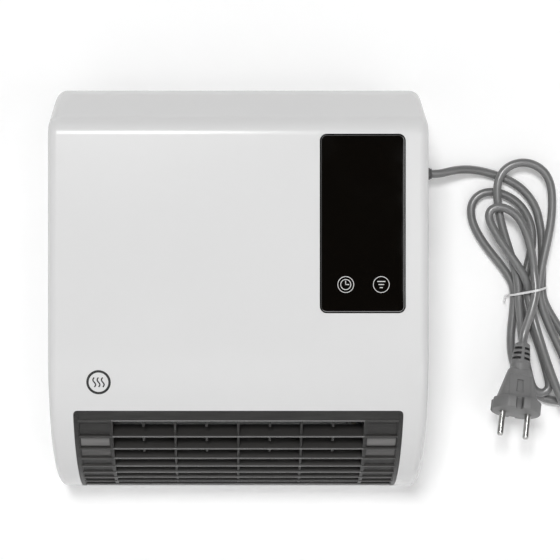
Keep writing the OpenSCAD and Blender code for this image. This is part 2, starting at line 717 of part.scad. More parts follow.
// A bearing bracket: a bridge on two legs, open towards the rotor
module motor_bracket(face, out) {
  far = face + out * bracket_d;
  difference() {
    union() {
      block(min(far, far - out * 2.5), max(far, far - out * 2.5), fan_d - stack_w / 2 + 1,
        fan_d + stack_w / 2 - 1,
        fan_z - stack_low + 1, fan_z + 15);
      for (s = [-1, 1]) for (z = [-stack_low + 5, 12])
        rod(min(face + out * seat_gap, far), max(face + out * seat_gap, far),
          fan_d + s * (stack_w / 2 - 4), fan_z + z, 3.4);
      rod(min(far, far - out * 5.5), max(far, far - out * 5.5), fan_d, fan_z, 6);
    }
    rod(motor_end - 5, plate_x0 + 5, fan_d, fan_z, axle_r + axle_clear);
    for (s = [-1, 1]) for (z = [-stack_low + 5, 12])
      rod(motor_end - 5, plate_x0 + 5, fan_d + s * (stack_w / 2 - 4), fan_z + z, 1.9, 24);
  }
}
module motor_bracket_inner() {
  color("silver") difference() {
    union() {
      motor_bracket(motor_mid + stack_t / 2, 1);
      // two arms that reach the end plate
      for (s = [-1, 1]) {
        block(plate_x0 - plate_t - 5.5, plate_x0 - plate_t - 3,
          fan_d + min(s * 12, s * (motor_span / 2 + 5)),
          fan_d + max(s * 12, s * (motor_span / 2 + 5)), fan_z - 5, fan_z + 5);
        rod(plate_x0 - plate_t - 5, plate_x0 - plate_t - seat_gap, fan_d + s * motor_span / 2, fan_z, 4);
      }
    }
    for (s = [-1, 1]) rod(plate_x0 - plate_t - 7, plate_x0, fan_d + s * motor_span / 2, fan_z, 1.9, 24);
  }
}
module motor_bracket_outer() {
  color("silver") motor_bracket(motor_mid - stack_t / 2, -1);
}
module motor_bolts() {
  color("gray") {
    for (s = [-1, 1]) for (z = [-stack_low + 5, 12]) {
      rod(motor_end - 0.5, motor_mid + stack_t / 2 + bracket_d + 0.4, fan_d + s * (stack_w / 2 - 4),
        fan_z + z, 1.8, 24);
      rod(motor_end - 2, motor_end - seat_gap, fan_d + s * (stack_w / 2 - 4), fan_z + z, 3.2, 6);
    }
    for (s = [-1, 1]) {
      rod(plate_x0 - plate_t - 8, plate_x0 + 0.8, fan_d + s * motor_span / 2, fan_z, 1.8, 24);
      rod(plate_x0 - plate_t - 7.5, plate_x0 - plate_t - 5.5 - seat_gap, fan_d + s * motor_span / 2,
        fan_z, 3.2, 6);
    }
  }
}

// ---- heating block ----
holder_w = 9;
bar_t = 2.2;
core_x0 = plate_x0 + holder_w;
core_x1 = plate_x1 - holder_w;
rows_n = 3;
row_h = (core_d - (rows_n + 1) * bar_t) / rows_n;
// A folded strip of fin, drawn as [x, depth]
module fin_row(from) {
  folds = floor((core_x1 - core_x0 - 4) / fin_pitch);
  step = (core_x1 - core_x0 - 4) / folds;
  pts = [for (i = [0:folds]) [core_x0 + 2 + i * step, from + (i % 2 == 0 ? 0.2 : row_h - 0.6)]];
  polygon(concat(pts, [for (i = [folds:-1:0]) pts[i] + [0, 0.5]]));
}
module heater_core() {
  color("lightslategray") {
    for (k = [0:rows_n])
      block(core_x0 + seat_gap, core_x1 - seat_gap, core_back + k * (row_h + bar_t),
        core_back + k * (row_h + bar_t) + bar_t,
        core_z - core_h / 2, core_z + core_h / 2);
    for (k = [0:rows_n - 1])
      translate([0, 0, core_z - core_h / 2 + 0.5]) linear_extrude(height = core_h - 1) mirror([0, 1])
        fin_row(core_back + bar_t + k * (row_h + bar_t));
  }
}
module heater_holders() {
  color([0.25, 0.2, 0.18]) for (s = [-1, 1]) {
    x = s < 0 ? plate_x0 : plate_x1;
    difference() {
      block(min(x - s * seat_gap, x - s * (holder_w + 3)), max(x - s * seat_gap, x - s * (holder_w + 3)),
        core_back - 0.4, core_front + 0.4, core_z - core_h / 2 - 2, core_z + core_h / 2 + 2);
      block(min(x - s * holder_w, x - s * (holder_w + 4)), max(x - s * holder_w, x - s * (holder_w + 4)),
        core_back - seat_gap, core_front + seat_gap, core_z - core_h / 2 - seat_gap,
          core_z + core_h / 2 + seat_gap);
      // slots for the terminals
      if (s > 0) for (k = [0:2]) translate([0, -(core_back + 8 + k * (core_d - 16) / 2), core_z])
        cube([4 * holder_w + 2 * x, 1.2, 6.6], center = true);
    }
  }
}
module heater_terminals() {
  color("gold") for (k = [0:2]) block(plate_x1 - holder_w + 0.2, plate_x1 + 13,
    core_back + 7.6 + k * (core_d - 16) / 2,
    core_back + 8.4 + k * (core_d - 16) / 2,
    core_z - 3.1, core_z + 3.1);
}
cutout_x = 40;
module thermal_cutout() {
  color("ivory") union() {
    post(cutout_x, core_z - core_h / 2 + 30, duct_front_x + duct_t + seat_gap,
      duct_front_x + duct_t + 8, 8);
    block(cutout_x - 12, cutout_x + 12, duct_front_x + duct_t + seat_gap,
      duct_front_x + duct_t + 0.8, core_z + 20, core_z + 24);
  }
}
module thermal_fuse() {
  color("wheat") rod(-46, -32, duct_front_x + duct_t + 2.1, core_z + 18, 2);
}

// ---- electronics ----
module control_board() {
  color("darkgreen") difference() {
    block(board_x0, board_x1, board_d, board_d + board_t, board_z0, board_z1);
    for (p = control_posts) post(p[0], p[1], board_d - 1, board_d + 3, 1.4, 24);
  }
}
board_top = board_d + board_t + seat_gap;
module board_relays() {
  color("royalblue") for (k = [0, 1])
    block(board_x0 + 9 + k * 13, board_x0 + 9 + k * 13 + 11, board_top, board_top + 15,
      board_z1 - 34, board_z1 - 16);
}
module board_capacitor() {
  color("goldenrod") {
    block(board_x0 + 5, board_x0 + 21, board_top, board_top + 13, board_z0 + 14, board_z0 + 21);
    post(board_x1 - 9, board_z0 + 18, board_top, board_top + 14, 5);
  }
}
module terminal_block() {
  color("forestgreen") difference() {
    block(board_x0 + 8, board_x0 + 34, board_top, board_top + 10, board_z1 - 60, board_z1 - 50);
    for (k = [0:3]) post(board_x0 + 12 + k * 6, board_z1 - 55, board_top + 5, board_top + 11, 1.6, 24);
  }
}

// ---- power switch ----
module power_switch() {
  x = body_w / 2;
  color([0.12, 0.12, 0.12]) difference() {
    union() {
      block(x + seat_gap, x + 1.8, switch_d - switch_face[0] / 2, switch_d + switch_face[0] / 2,
        switch_z - switch_face[1] / 2, switch_z + switch_face[1] / 2);
      block(x - switch_deep, x + 0.5, switch_d - switch_hole[0] / 2 + 0.1,
        switch_d + switch_hole[0] / 2 - 0.1,
        switch_z - switch_hole[1] / 2 + 0.1, switch_z + switch_hole[1] / 2 - 0.1);
    }
    // room for the rocker, and the holes that its pins turn in
    block(x - 7.5, x + 3, switch_d - 5.3, switch_d + 5.3, switch_z - 8.6, switch_z + 8.6);
    post(rocker_pivot, switch_z, switch_d - 6.3, switch_d + 6.3, 1.2 + axle_clear);
  }
}
rocker_pivot = body_w / 2 - 3.2;
module switch_rocker() {
  x = rocker_pivot;
  color([0.08, 0.08, 0.08]) union() {
    // two flats that meet in a shallow valley, so that one end stands proud when tilted
    translate([x, -switch_d, switch_z]) rotate([90, rocker_tilt, 0])
      linear_extrude(height = 10, center = true)
        polygon([[-2.6, -4], [-1, -7.2], [3.2, -7.6], [5.2, -7.2], [4, 0], [5.2, 7.2], [3.2, 7.6],
          [-1, 7.2], [-2.6, 4]]);
    post(x, switch_z, switch_d - 6.2, switch_d + 6.2, 1.2);
  }
}

// ---- mains cord ----
module cord_gland() {
  x = body_w / 2;
  color([0.35, 0.35, 0.35]) difference() {
    union() {
      rod(x - shell_wall - 3, x + 1, cord_depth, cord_z, gland_r - 1.7);
      rod(x + seat_gap, x + 2.4, cord_depth, cord_z, gland_r);
      rod(x - shell_wall - 3, x - shell_wall - seat_gap, cord_depth, cord_z, gland_r);
      translate([x + 2, -cord_depth, cord_z]) rotate([0, 90, 0])
        cylinder(h = gland_len - 2, r1 = gland_r - 0.8, r2 = cord_d / 2 + 0.9, $fn = 32);
    }
    rod(x - 10, x + gland_len + 1, cord_depth, cord_z, cord_d / 2 + seat_gap);
  }
}
module cord_tail() {
  color("gray") rod(clamp_x - 8, body_w / 2 + gland_len, cord_depth, cord_z, cord_d / 2);
}
module cord_clamp() {
  color([0.9, 0.9, 0.88]) difference() {
    block(clamp_x - 4, clamp_x + 4, cord_depth + seat_gap, cord_depth + cord_d / 2 + 2.5,
      cord_z - clamp_span / 2 - 4, cord_z + clamp_span / 2 + 4);
    rod(clamp_x - 6, clamp_x + 6, cord_depth, cord_z, cord_d / 2 + seat_gap);
    for (s = [-1, 1]) post(clamp_x, cord_z + s * clamp_span / 2, cord_depth - 1, cord_depth + 9, 1.6, 24);
  }
}

// ---- fasteners ----
module pan_screw(x, z, under, len, r) {
  post(x, z, under - len, under, r, 24);
  post(x, z, under, under + r * 1.1, r * 1.9, 24);
}
module inner_screws() {
  color("silver") {
    for (s = [-1, 1]) pan_screw(clamp_x, cord_z + s * clamp_span / 2,
      cord_depth + cord_d / 2 + 2.5 + seat_gap, 11, 1);
    for (p = control_posts) pan_screw(p[0], p[1], board_d + board_t + seat_gap, 6, 0.85);
    for (x = foot_x) for (z = foot_z)
      pan_screw(x, z, foot_boss + shell_wall + plate_t + 2 * seat_gap, 7, 1.15);
  }
}
module case_screws() {
  color("silver") for (s = case_spots) {
    post(s[0], s[1], boss_split - 8 - 2.6, boss_split - 8 - seat_gap, screw_head_r);
    post(s[0], s[1], boss_split - 9, boss_split + 10, screw_r - 0.45, 24);
  }
}

// ---- wiring ----
// Thin wires run along lists of [x, depth, height]; the heading keeps their sections from turning over
wire_heading = [0.6, 0.35, 0.72];
module wire(path) {
  tube(path, wire_r, 6, wire_heading);
}
wire_r = 1.1;
module heater_wires() {
  x0 = plate_x1 + 13 + seat_gap;
  color("ivory") for (k = [0:2]) {
    d = core_back + 8 + k * (core_d - 16) / 2;
    x = board_x0 + 12 + k * 6;
    wire([[x0, d, core_z], [x0 + 4 + k * 2, d, core_z], [x, board_top + 16, board_z1 - 55],
      [x, board_top + 10.2, board_z1 - 55]]);
  }
}
module motor_wires() {
  color("skyblue") for (k = [0, 1])
    wire([[motor_mid + stack_t / 2 + 5 - k * 3, fan_d - coil_w / 2 - wire_r - seat_gap,
      fan_z + stack_high - 12],
      [plate_x0 - 3 - 3 * k, 22 + 3 * k, foot_z[0] + 12], [plate_x1 + 3, 22 + 3 * k, foot_z[0] + 12],
      [board_x0 + 3, 22 + 3 * k, board_z1 + 24], [board_x0 + 12 + 4 * k, board_top + 4, board_z1 - 3],
      [board_x0 + 12 + 4 * k, board_top, board_z1 - 3]]);
}
module supply_wires() {
  x = body_w / 2 - switch_deep - wire_r - seat_gap;
  color("brown") for (k = [0, 1]) {
    wire([[clamp_x - 8 - seat_gap, cord_depth - 1.6 + 3.2 * k, cord_z],
      [clamp_x - 11, cord_depth - 1.6 + 3.2 * k, cord_z],
        [clamp_x - 12, cord_depth - 1.6 + 3.2 * k, cord_z - 8],
      [x - 1, switch_d - 3 + 6 * k, switch_z + 6], [x, switch_d - 3 + 6 * k, switch_z + 2]]);
    wire([[x, switch_d - 3 + 6 * k, switch_z - 4], [x - 2, switch_d - 3 + 6 * k, board_z1 + 14],
      [board_x1 - 8 - 5 * k, board_top + 4, board_z1 - 4],
        [board_x1 - 8 - 5 * k, board_top, board_z1 - 4]]);
  }
}
module ribbon_cable() {
  path = [[board_top + 0.9, board_z1 - 44], [board_top + 5, board_z1 - 43.5],
    [board_top + 24, board_z1 - 36],
    [board_front - 20, board_z1 - 32], [board_front - board_t - 4, board_z1 - 22],
    [board_front - board_t - 1, board_z1 - 12], [board_front - board_t - 0.9, board_z1]];
  color("lightsteelblue") across(14, glass_x + 20) strip(path, 0.8);
}

// ---- mains cord outside the heater ----
// Points are [x, distance from the wall, height], as the lead lies in the photographed tangle.
cord_exit = [body_w / 2 + gland_len, cord_depth, cord_z];
tie_c = [222.5, 0, -2];
low = 4.3;
lead_end = [233, low, 18];
lead_path = concat(
  [cord_exit, cord_exit + [cord_d, 0, 0]],
  [[161, 14, 89.5], [170, 11, 91], [180, 7.5, 91], [190, 4.8, 89.3], [199, low, 86.6], [208, low, 83],
    [216.5, low, 77.5], [223.5, low, 70], [228.5, low, 61], [231, low, 51], [232.6, low, 40]],
  [lead_end + [0, 0, cord_d + 2], lead_end]
);
// The seven passes through the tie: [sideways of the tie's middle, distance from the wall]
passes = [[10.5, low], [-11, low], [-3.8, low], [-8.8, 11.5], [7, 11.5], [-1.5, 13.4], [3, 20.8]];
// The six loops between them: [up or down, reach, half width, lean, side of the first strand,
// distance from the wall of the first strand, and of the second]
loops = [
  [-1, 84, 20, 0.34, 1, low, low],
  [1, 76.5, 20.5, -0.35, -1, low, low],
  [-1, 78, 6, 0.26, 1, 11.5, 11.5],
  [1, 98.5, 17.5, -0.055, -1, 11.5, 11.5],
  [-1, 95, 6.5, 0.43, 1, 11.5, 18.5],
  [1, 64.5, 11, -0.53, -1, 18.5, 18.5]
];
loop_rings = 24;
strand_rings = 9;
lean_in = 20;
function ease(t) = let (u = max(0, min(1, t))) u * u * (3 - 2 * u);
// A point of a loop: a strand out from the tie, half a circle round the tip, and a strand back
function loop_at(k, i) =
  let (
    f = loops[k],
    t = i / loop_rings,
    straight = f[1] - f[2],
    tip = loop_rings - 2 * strand_rings,
    v = i < strand_rings ? i / strand_rings
      : i > loop_rings - strand_rings ? (loop_rings - i) / strand_rings : 1,
    turn = 180 * max(0, min(1, (i - strand_rings) / tip)),
    along = v < 1 ? straight * v : straight + f[2] * sin(turn),
    out = v < 1 ? f[2] * pow(sin(90 * pow(v, 0.9)), 2) * (i < strand_rings ? 1 : -1) : f[2] * cos(turn),
    here = passes[k],
    next = passes[k + 1],
    lift = ease(along / (f[0] < 0 ? 45 : 16)),
    level = f[5] + (f[6] - f[5]) * ease((i - strand_rings) / tip)
  )
  tie_c + [
    here[0] + (next[0] - here[0]) * ease(t) + f[3] * along * along / (along + lean_in) + f[4] * out,
    (i < loop_rings / 2 ? here[1] : next[1]) * (1 - lift) + level * lift,
    f[0] * along
  ];
plug_lean = 9;
plug_tilt = 17.5;
plug_dir = [-cos(plug_tilt) * sin(plug_lean), sin(plug_tilt), -cos(plug_tilt) * cos(plug_lean)];
plug_top = [214.8, 25.2, -41.7];
hank_path = concat(
  [lead_end],
  [for (k = [0:5]) for (i = [(k == 0 ? 0 : 1):loop_rings]) loop_at(k, i)],
  [[224.1, 22.2, -9], [221.6, 23, -17.5], [218.6, 23, -26.5], plug_top - (cord_d + 0.6) * plug_dir,
    plug_top]
);
// Least distance from a point to a run of the path, skipping the part next to the point
function to_run(p, a, b) = let (v = b - a) norm(p - a - v * max(0, min(1, (p - a) * v / (v * v))));
function least_gap(path) = min([
  for (i = [0:len(path) - 2]) for (q = [0:0.25:0.75]) let (p = path[i] + q * (path[i + 1] - path[i]))
    for (j = [i + 4:1:len(path) - 2]) to_run(p, path[j], path[j + 1])
]) - cord_d;
function path_len(path) = let (n = len(path) - 2)
  [for (i = [0:n]) norm(path[i + 1] - path[i])] * [for (i = [0:n]) 1];
echo(cord_to_itself = least_gap(concat(lead_path, [for (i = [1:len(hank_path) - 1]) hank_path[i]])));
echo(cord_length = path_len(lead_path) + path_len(hank_path));

module cord_lead() {
  color("gray") tube(lead_path, cord_d / 2, 8);
}
module cord_hank() {
  color("gray") tube(hank_path, cord_d / 2, 6);
}
tie_gap = 0.5;
tie_t = 0.55;
tie_w = 1.4;
tie_tilt = 12;
module tie_outline(grow) {
  hull() for (p = passes) translate([p[0], p[1]]) circle(r = cord_d / 2 + grow, $fn = 24);
}
module twist_tie() {
  color("white") translate([tie_c[0], 0, tie_c[2]]) rotate([0, -tie_tilt, 0]) mirror([0, 1, 0]) {
    linear_extrude(height = tie_w, center = true) difference() {
      tie_outline(tie_gap + tie_t);
      tie_outline(tie_gap);
    }
    // the twisted ends
    translate([-15.3, 3, 0]) rotate([-30, -70, 0]) cylinder(h = 8, r = 1.1, $fn = 16);
  }
}

// ---- plug: round contour plug with two pins and a ribbed sleeve ----
relief_len = 21;
plug_neck = 8.5;
plug_len = 54;
flange_r = 18.6;
flange_t = 9;
pin_gap = 19;
pin_r = 2.4;
pin_len = 19;
module at_plug() {
  translate([plug_top[0], -plug_top[1], plug_top[2]]) rotate([0, plug_lean, 0]) rotate([-plug_tilt, 0, 0])
    mirror([0, 0, 1]) children();
}
module plug_body() {
  color([0.4, 0.4, 0.4]) at_plug() difference() {
    union() {
      // ribbed sleeve, grooves cut into a taper
      rotate_extrude() polygon(concat(
        [[0, 0], [5.8, 0]],
        [for (k = [0:2]) for (p = [[6 + k * 0.4, 4 + 4 * k], [4.6, 4 + 4 * k], [4.6, 5.6 + 4 * k],
          [6.2 + k * 0.4, 5.6 + 4 * k]]) p],
        [[7.3, 16], [7.6, 17], [7.6, relief_len + 1], [0, relief_len + 1]]
      ));
      // body that flares from the neck to the flange
      intersection() {
        rotate([90, 0, 0]) linear_extrude(height = 40, center = true)
          polygon([[-plug_neck, relief_len - 1], [plug_neck, relief_len - 1],
            [plug_neck + 2, relief_len + 2],
            [flange_r - 3, plug_len - flange_t], [flange_r - 3, plug_len - 3], [3 - flange_r, plug_len - 3],
            [3 - flange_r, plug_len - flange_t], [-plug_neck - 2, relief_len + 2]]);
        rotate([90, 0, 90]) linear_extrude(height = 40, center = true)
          polygon([[-6.5, relief_len - 1], [6.5, relief_len - 1], [8, relief_len + 3],
            [flange_r - 6.5, plug_len - flange_t], [flange_r - 6.5, plug_len - 3],
              [6.5 - flange_r, plug_len - 3],
            [6.5 - flange_r, plug_len - flange_t], [-8, relief_len + 3]]);
      }
      translate([0, 0, plug_len - flange_t]) cylinder(h = flange_t, r = flange_r, $fn = 96);
    }
    // flats and notches of the contour shape
    for (s = [-1, 1]) {
      translate([-20, s > 0 ? flange_r - 2 : -flange_r - 8, plug_len - flange_t - 1])
        cube([40, 10, flange_t + 2]);
      translate([-2.7, s > 0 ? flange_r - 5.5 : -flange_r - 4.5, plug_len - flange_t - 1])
        cube([5.4, 10, flange_t + 2]);
    }
    for (s = [-1, 1]) translate([s * pin_gap / 2, 0, plug_len - 8]) cylinder(h = 9, r = pin_r, $fn = 32);
    // inset grip on each side of the body
    for (s = [-1, 1]) translate([-4.5, s > 0 ? 9.6 : -15.6, relief_len + 9]) cube([9, 6, 11]);
  }
}
module plug_pins() {
  color("silver") at_plug() for (s = [-1, 1]) translate([s * pin_gap / 2, 0, 0]) {
    translate([0, 0, plug_len - 8 + seat_gap]) cylinder(h = 8 + pin_len - 2, r = pin_r - 0.02, $fn = 32);
    translate([0, 0, plug_len + pin_len - 2 + seat_gap])
      cylinder(h = 2, r1 = pin_r - 0.02, r2 = pin_r - 1, $fn = 32);
  }
}

front_shell();
rear_shell();
outlet_grille();
display_glass();
display_board();
display_module();
touch_springs();
duct_rear();
duct_front();
end_plate_left();
end_plate_right();
fan_wheel();
motor_shaft();
wheel_stub();
bearing_bush();
bearing_rubber();
motor_stack();
motor_coil();
motor_rotor();
motor_bracket_inner();
motor_bracket_outer();
motor_bolts();
heater_core();
heater_holders();
heater_terminals();
thermal_cutout();
thermal_fuse();
control_board();
board_relays();
board_capacitor();
terminal_block();
power_switch();
switch_rocker();
cord_gland();
cord_tail();
cord_clamp();
inner_screws();
case_screws();
heater_wires();
motor_wires();
supply_wires();
ribbon_cable();
cord_lead();
cord_hank();
twist_tie();
plug_body();
plug_pins();
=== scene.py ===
import bpy, bmesh
from math import acos, atan, atan2, copysign, cos, pi, radians, sin, sqrt
from mathutils import Matrix, Vector


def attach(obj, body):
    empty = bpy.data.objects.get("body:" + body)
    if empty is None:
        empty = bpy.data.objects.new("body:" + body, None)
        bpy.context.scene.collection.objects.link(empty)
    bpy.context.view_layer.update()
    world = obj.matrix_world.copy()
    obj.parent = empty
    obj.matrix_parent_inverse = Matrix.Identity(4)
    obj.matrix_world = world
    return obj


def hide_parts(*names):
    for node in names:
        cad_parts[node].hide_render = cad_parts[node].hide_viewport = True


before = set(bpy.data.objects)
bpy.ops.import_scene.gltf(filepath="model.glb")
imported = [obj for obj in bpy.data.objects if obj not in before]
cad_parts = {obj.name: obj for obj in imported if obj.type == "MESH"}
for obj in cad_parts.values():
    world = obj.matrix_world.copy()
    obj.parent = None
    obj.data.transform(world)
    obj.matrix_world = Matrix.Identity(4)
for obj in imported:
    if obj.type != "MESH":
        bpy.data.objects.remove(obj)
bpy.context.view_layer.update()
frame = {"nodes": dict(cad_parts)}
part = frame["nodes"]

# ---- the wall, the floor and the light round the heater ----
# A white studio wall and floor. The wall is one-sided, so the back stays open to
# view. The camera stands straight in front, as it did for the photograph.
scene = bpy.context.scene
scene.view_settings.view_transform = "Standard"


class Value:
    """One output in a tree of nodes. Arithmetic on it adds Math nodes."""

    def __init__(self, tree, socket):
        self.tree, self.socket = tree, socket

    def _math(self, operation, a, b=0.0):
        return self.tree.node("ShaderNodeMath", {"operation": operation}, {0: a, 1: b})

    def __add__(self, other):
        return self._math("ADD", self, other)

    def __sub__(self, other):
        return self._math("SUBTRACT", self, other)

    def __rsub__(self, other):
        return self._math("SUBTRACT", other, self)

    def __mul__(self, other):
        return self._math("MULTIPLY", self, other)

    def __truediv__(self, other):
        return self._math("DIVIDE", self, other)

    def __gt__(self, other):
        return self._math("GREATER_THAN", self, other)

    def __lt__(self, other):
        return self._math("LESS_THAN", self, other)

    def __abs__(self):
        return self._math("ABSOLUTE", self)

    __radd__, __rmul__ = __add__, __mul__


class Tree:
    """A tree of nodes. node() adds any kind, with its settings, and its inputs as numbers or Values."""

    def node(self, kind, settings=None, values=None, out=0):
        made = self.nodes.new(kind)
        for key, value in (settings or {}).items():
            setattr(made, key, value)
        for key, value in (values or {}).items():
            if isinstance(value, Value):
                self.links.new(value.socket, made.inputs[key])
            else:
                made.inputs[key].default_value = value
        return Value(self, made.outputs[out])


class Finish(Tree):
    """A material in the making. surface() sets the shader and gives the material."""

    def __init__(self, name):
        self.material = bpy.data.materials.new(name)
        self.material.use_nodes = True
        self.nodes, self.links = self.material.node_tree.nodes, self.material.node_tree.links
        self.shader = self.nodes["Principled BSDF"]
        self.place = self.node("ShaderNodeTexCoord", out="Object")

    def noise(self, scale, detail=3.0, stretch=(1, 1, 1)):
        spread = self.node("ShaderNodeMapping", {}, {"Vector": self.place, "Scale": stretch})
        return self.node("ShaderNodeTexNoise", {}, {"Vector": spread, "Scale": scale, "Detail": detail})

    def cells(self, scale, out="Distance"):
        return self.node("ShaderNodeTexVoronoi", {}, {"Vector": self.place, "Scale": scale}, out=out)

    def share(self, value, low, high):
        """0 below low, 1 above high, and even steps between."""
        return self.node("ShaderNodeMapRange", {}, {"Value": value, "From Min": low, "From Max": high})

    def blend(self, share, first, second):
        return self.node("ShaderNodeMix", {"data_type": "RGBA"}, {0: share, 6: first, 7: second}, out=2)

    def bump(self, height, depth):
        return self.node("ShaderNodeBump", {}, {"Height": height, "Distance": depth, "Strength": 1.0})

    def surface(self, **values):
        for key, value in values.items():
            socket = self.shader.inputs[key.replace("_", " ")]
            if isinstance(value, Value):
                self.links.new(value.socket, socket)
            else:
                socket.default_value = value
        return self.material


def grey(level, warm=0.0, green=0.0):
    """A colour as it is read off a picture, from 0 to 255, turned into the shader's light."""
    shown = [min(max(level + part, 0), 255) / 255 for part in (warm, green, -warm)]
    return tuple(v / 12.92 if v <= 0.0405 else ((v + 0.055) / 1.055) ** 2.4 for v in shown) + (1.0,)


def at(x, depth, height):
    """A point of the frame, from millimetres across, out from the wall and up."""
    return Vector((x, -depth, height)) / 1000


def loft(rows, ring=True, capped=True):
    """A skin through rows of points, as a shape: its points and its faces."""
    count = len(rows[0])
    points = [point for row in rows for point in row]
    faces = []
    for below in range(0, count * (len(rows) - 1), count):
        above = below + count
        faces += [(below + i, below + (i + 1) % count, above + (i + 1) % count, above + i)
                  for i in range(count if ring else count - 1)]
    if capped:
        faces += [tuple(range(count)), tuple(range(len(points) - count, len(points)))]
    return points, faces


def around(count):
    """The angles of so many equal steps round a circle."""
    return [2 * pi * k / count for k in range(count)]


def turned(profile, place, sides=32):
    """A turned shape: [radius, height] pairs go round, and place puts x, y and height in the frame."""
    rows = [[place(r * cos(a), r * sin(a), h) for r, h in profile] for a in around(sides)]
    return loft(rows + rows[:1], capped=False)


def block(x0, x1, d0, d1, z0, z1):
    return loft([[at(x, d, z) for d, z in ((d0, z0), (d1, z0), (d1, z1), (d0, z1))] for x in (x0, x1)])


def join(*shapes):
    points, faces = [], []
    for more_points, more_faces in shapes:
        faces += [tuple(i + len(points) for i in face) for face in more_faces]
        points += more_points
    return points, faces


def finished(made, finish, body="heater", replaces=(), slot=None, smooth=35):
    """Gives a piece its finish, its smooth faces and its place in the frame."""
    made.data.materials.clear()
    made.data.materials.append(finish)
    if smooth:
        made.data.shade_smooth()
        made.data.set_sharp_from_angle(angle=radians(smooth))
    if body:
        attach(made, body)
        if replaces:
            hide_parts(*replaces)
    return made


def raw(name, shape):
    """An object with closed seams and outward faces, from a shape."""
    mesh = bpy.data.meshes.new(name)
    mesh.from_pydata([tuple(point) for point in shape[0]], [], shape[1])
    work = bmesh.new()
    work.from_mesh(mesh)
    bmesh.ops.remove_doubles(work, verts=work.verts, dist=1e-6)
    bmesh.ops.recalc_face_normals(work, faces=work.faces)
    work.to_mesh(mesh)
    work.free()
    made = bpy.data.objects.new(name, mesh)
    scene.collection.objects.link(made)
    return made


def solid(name, shape, finish, **facts):
    return finished(raw(name, shape), finish, **facts)


def shown(node, finish):
    """A CAD node that stays as it is and gets a better material."""
    for place in part[node].material_slots:
        place.material = finish


camera = bpy.data.cameras.new("studio_camera")
camera.sensor_width = 36
camera.lens = 117
camera.shift_x, camera.shift_y = 0.0745, 0.0089
camera.clip_start = 0.05
viewer = bpy.data.objects.new("studio_camera", camera)
viewer.location = (0, -1.4, 0.0029)
viewer.rotation_euler = (radians(90), 0, 0)
scene.collection.objects.link(viewer)
scene.camera = viewer


def backdrop(name, points, faces, facing):
    """A studio surface that shows white where no shadow falls, and that is seen from its front only."""
    paint = Finish(name)
    seen = [paint.node("ShaderNodeLightPath", out=ray)
            for ray in ("Is Camera Ray", "Is Glossy Ray", "Is Transmission Ray")]
    paint.surface(Base_Color=grey(250), Roughness=0.9, Specular_IOR_Level=0.0,
                  Emission_Color=seen[0] + seen[1] + seen[2], Emission_Strength=0.09)
    back = paint.node("ShaderNodeNewGeometry", out="Backfacing")
    mixed = paint.node("ShaderNodeMixShader", {}, {
        0: back, 1: Value(paint, paint.shader.outputs[0]), 2: paint.node("ShaderNodeBsdfTransparent")})
    paint.links.new(mixed.socket, paint.nodes["Material Output"].inputs[0])
    made = solid(name, (points, faces), paint.material, body=None, smooth=0)
    if made.data.polygons[0].normal.dot(Vector(facing)) < 0:
        made.data.flip_normals()


def sheet(x0, x1, y0, y1):
    return (x0, y0), (x1, y0), (x1, y1), (x0, y1)


# The wall is open where the heater's back covers it, so that light from behind reaches the back
room_half, floor_z = 6000, -620
wall_rim = sheet(-room_half, room_half, floor_z, 4000) + sheet(-132.6, 132.6, -146.6, 146.6)
backdrop("studio_wall", [at(x, -0.5, z) for x, z in wall_rim],
         [(0, 1, 5, 4), (1, 2, 6, 5), (2, 3, 7, 6), (3, 0, 4, 7)], (0, -1, 0))
backdrop("studio_floor", [at(x, d, floor_z) for x, d in sheet(-room_half, room_half, 8000, -4000)],
         [(0, 1, 2, 3)], (0, 0, 1))


def lamp(name, place, aim, size, power):
    """A soft rectangular light that shines from place towards aim."""
    light = bpy.data.lights.new(name, "AREA")
    light.shape, light.size, light.size_y, light.energy = "RECTANGLE", size[0], size[1], power
    holder = bpy.data.objects.new(name, light)
    holder.location = place
    holder.rotation_euler = (Vector(aim) - Vector(place)).to_track_quat("-Z", "Y").to_euler()
    scene.collection.objects.link(holder)


lamp("key_light", (-0.5, -4.4, 1.5), (0, 0, 0), (1.1, 1.1), 114)
lamp("side_light", (0.9, -3.9, 0.2), (0, 0, 0), (0.5, 0.7), 8)
lamp("fill_light", (1.6, -2, -0.5), (0, 0, 0), (1.2, 1.2), 5)
lamp("back_light", (0.8, 2.6, 0.9), (0, 0, 0), (1.4, 1.4), 36)
world = bpy.data.worlds.new("studio_air")
scene.world = world
world.use_nodes = True
world.node_tree.nodes["Background"].inputs["Color"].default_value = (1, 1, 1, 1)
world.node_tree.nodes["Background"].inputs["Strength"].default_value = 0.16


# ---- the mains cord, tied in a loose hank ----
# Grey PVC sheath over three cores, 6.4 mm thick. It leaves the gland, turns down and
# is gathered in six long loops through the tie, and it ends in the plug's sleeve.
def ease(t):
    t = min(max(t, 0), 1)
    return t * t * (3 - 2 * t)


def smooth_route(points, step):
    """A finer route through the same points, on one smooth curve."""
    route = []
    ends = [2 * points[0] - points[1], *points, 2 * points[-1] - points[-2]]
    for a, b, c, d in zip(ends, ends[1:], ends[2:], ends[3:]):
        count = max(1, round((c - b).length / step))
        for t in (i / count for i in range(count)):
            route.append((2 * b + (c - a) * t + (2 * a - 5 * b + 4 * c - d) * t * t
                          + (3 * b - a - 3 * c + d) * t ** 3) / 2)
    return route + [points[-1]]


def swept(route, radius, sides=12):
    """A round skin along a route. The radius may change from one end to the other."""
    side, rows = (route[1] - route[0]).orthogonal().normalized(), []
    for i, point in enumerate(route):
        way = (route[min(i + 1, len(route) - 1)] - route[max(i - 1, 0)]).normalized()
        side = (side - way * side.dot(way)).normalized()
        r = radius(i / (len(route) - 1)) if callable(radius) else radius
        rows.append([point + r * (side * cos(a) + way.cross(side) * sin(a)) for a in around(sides)])
    return loft(rows)


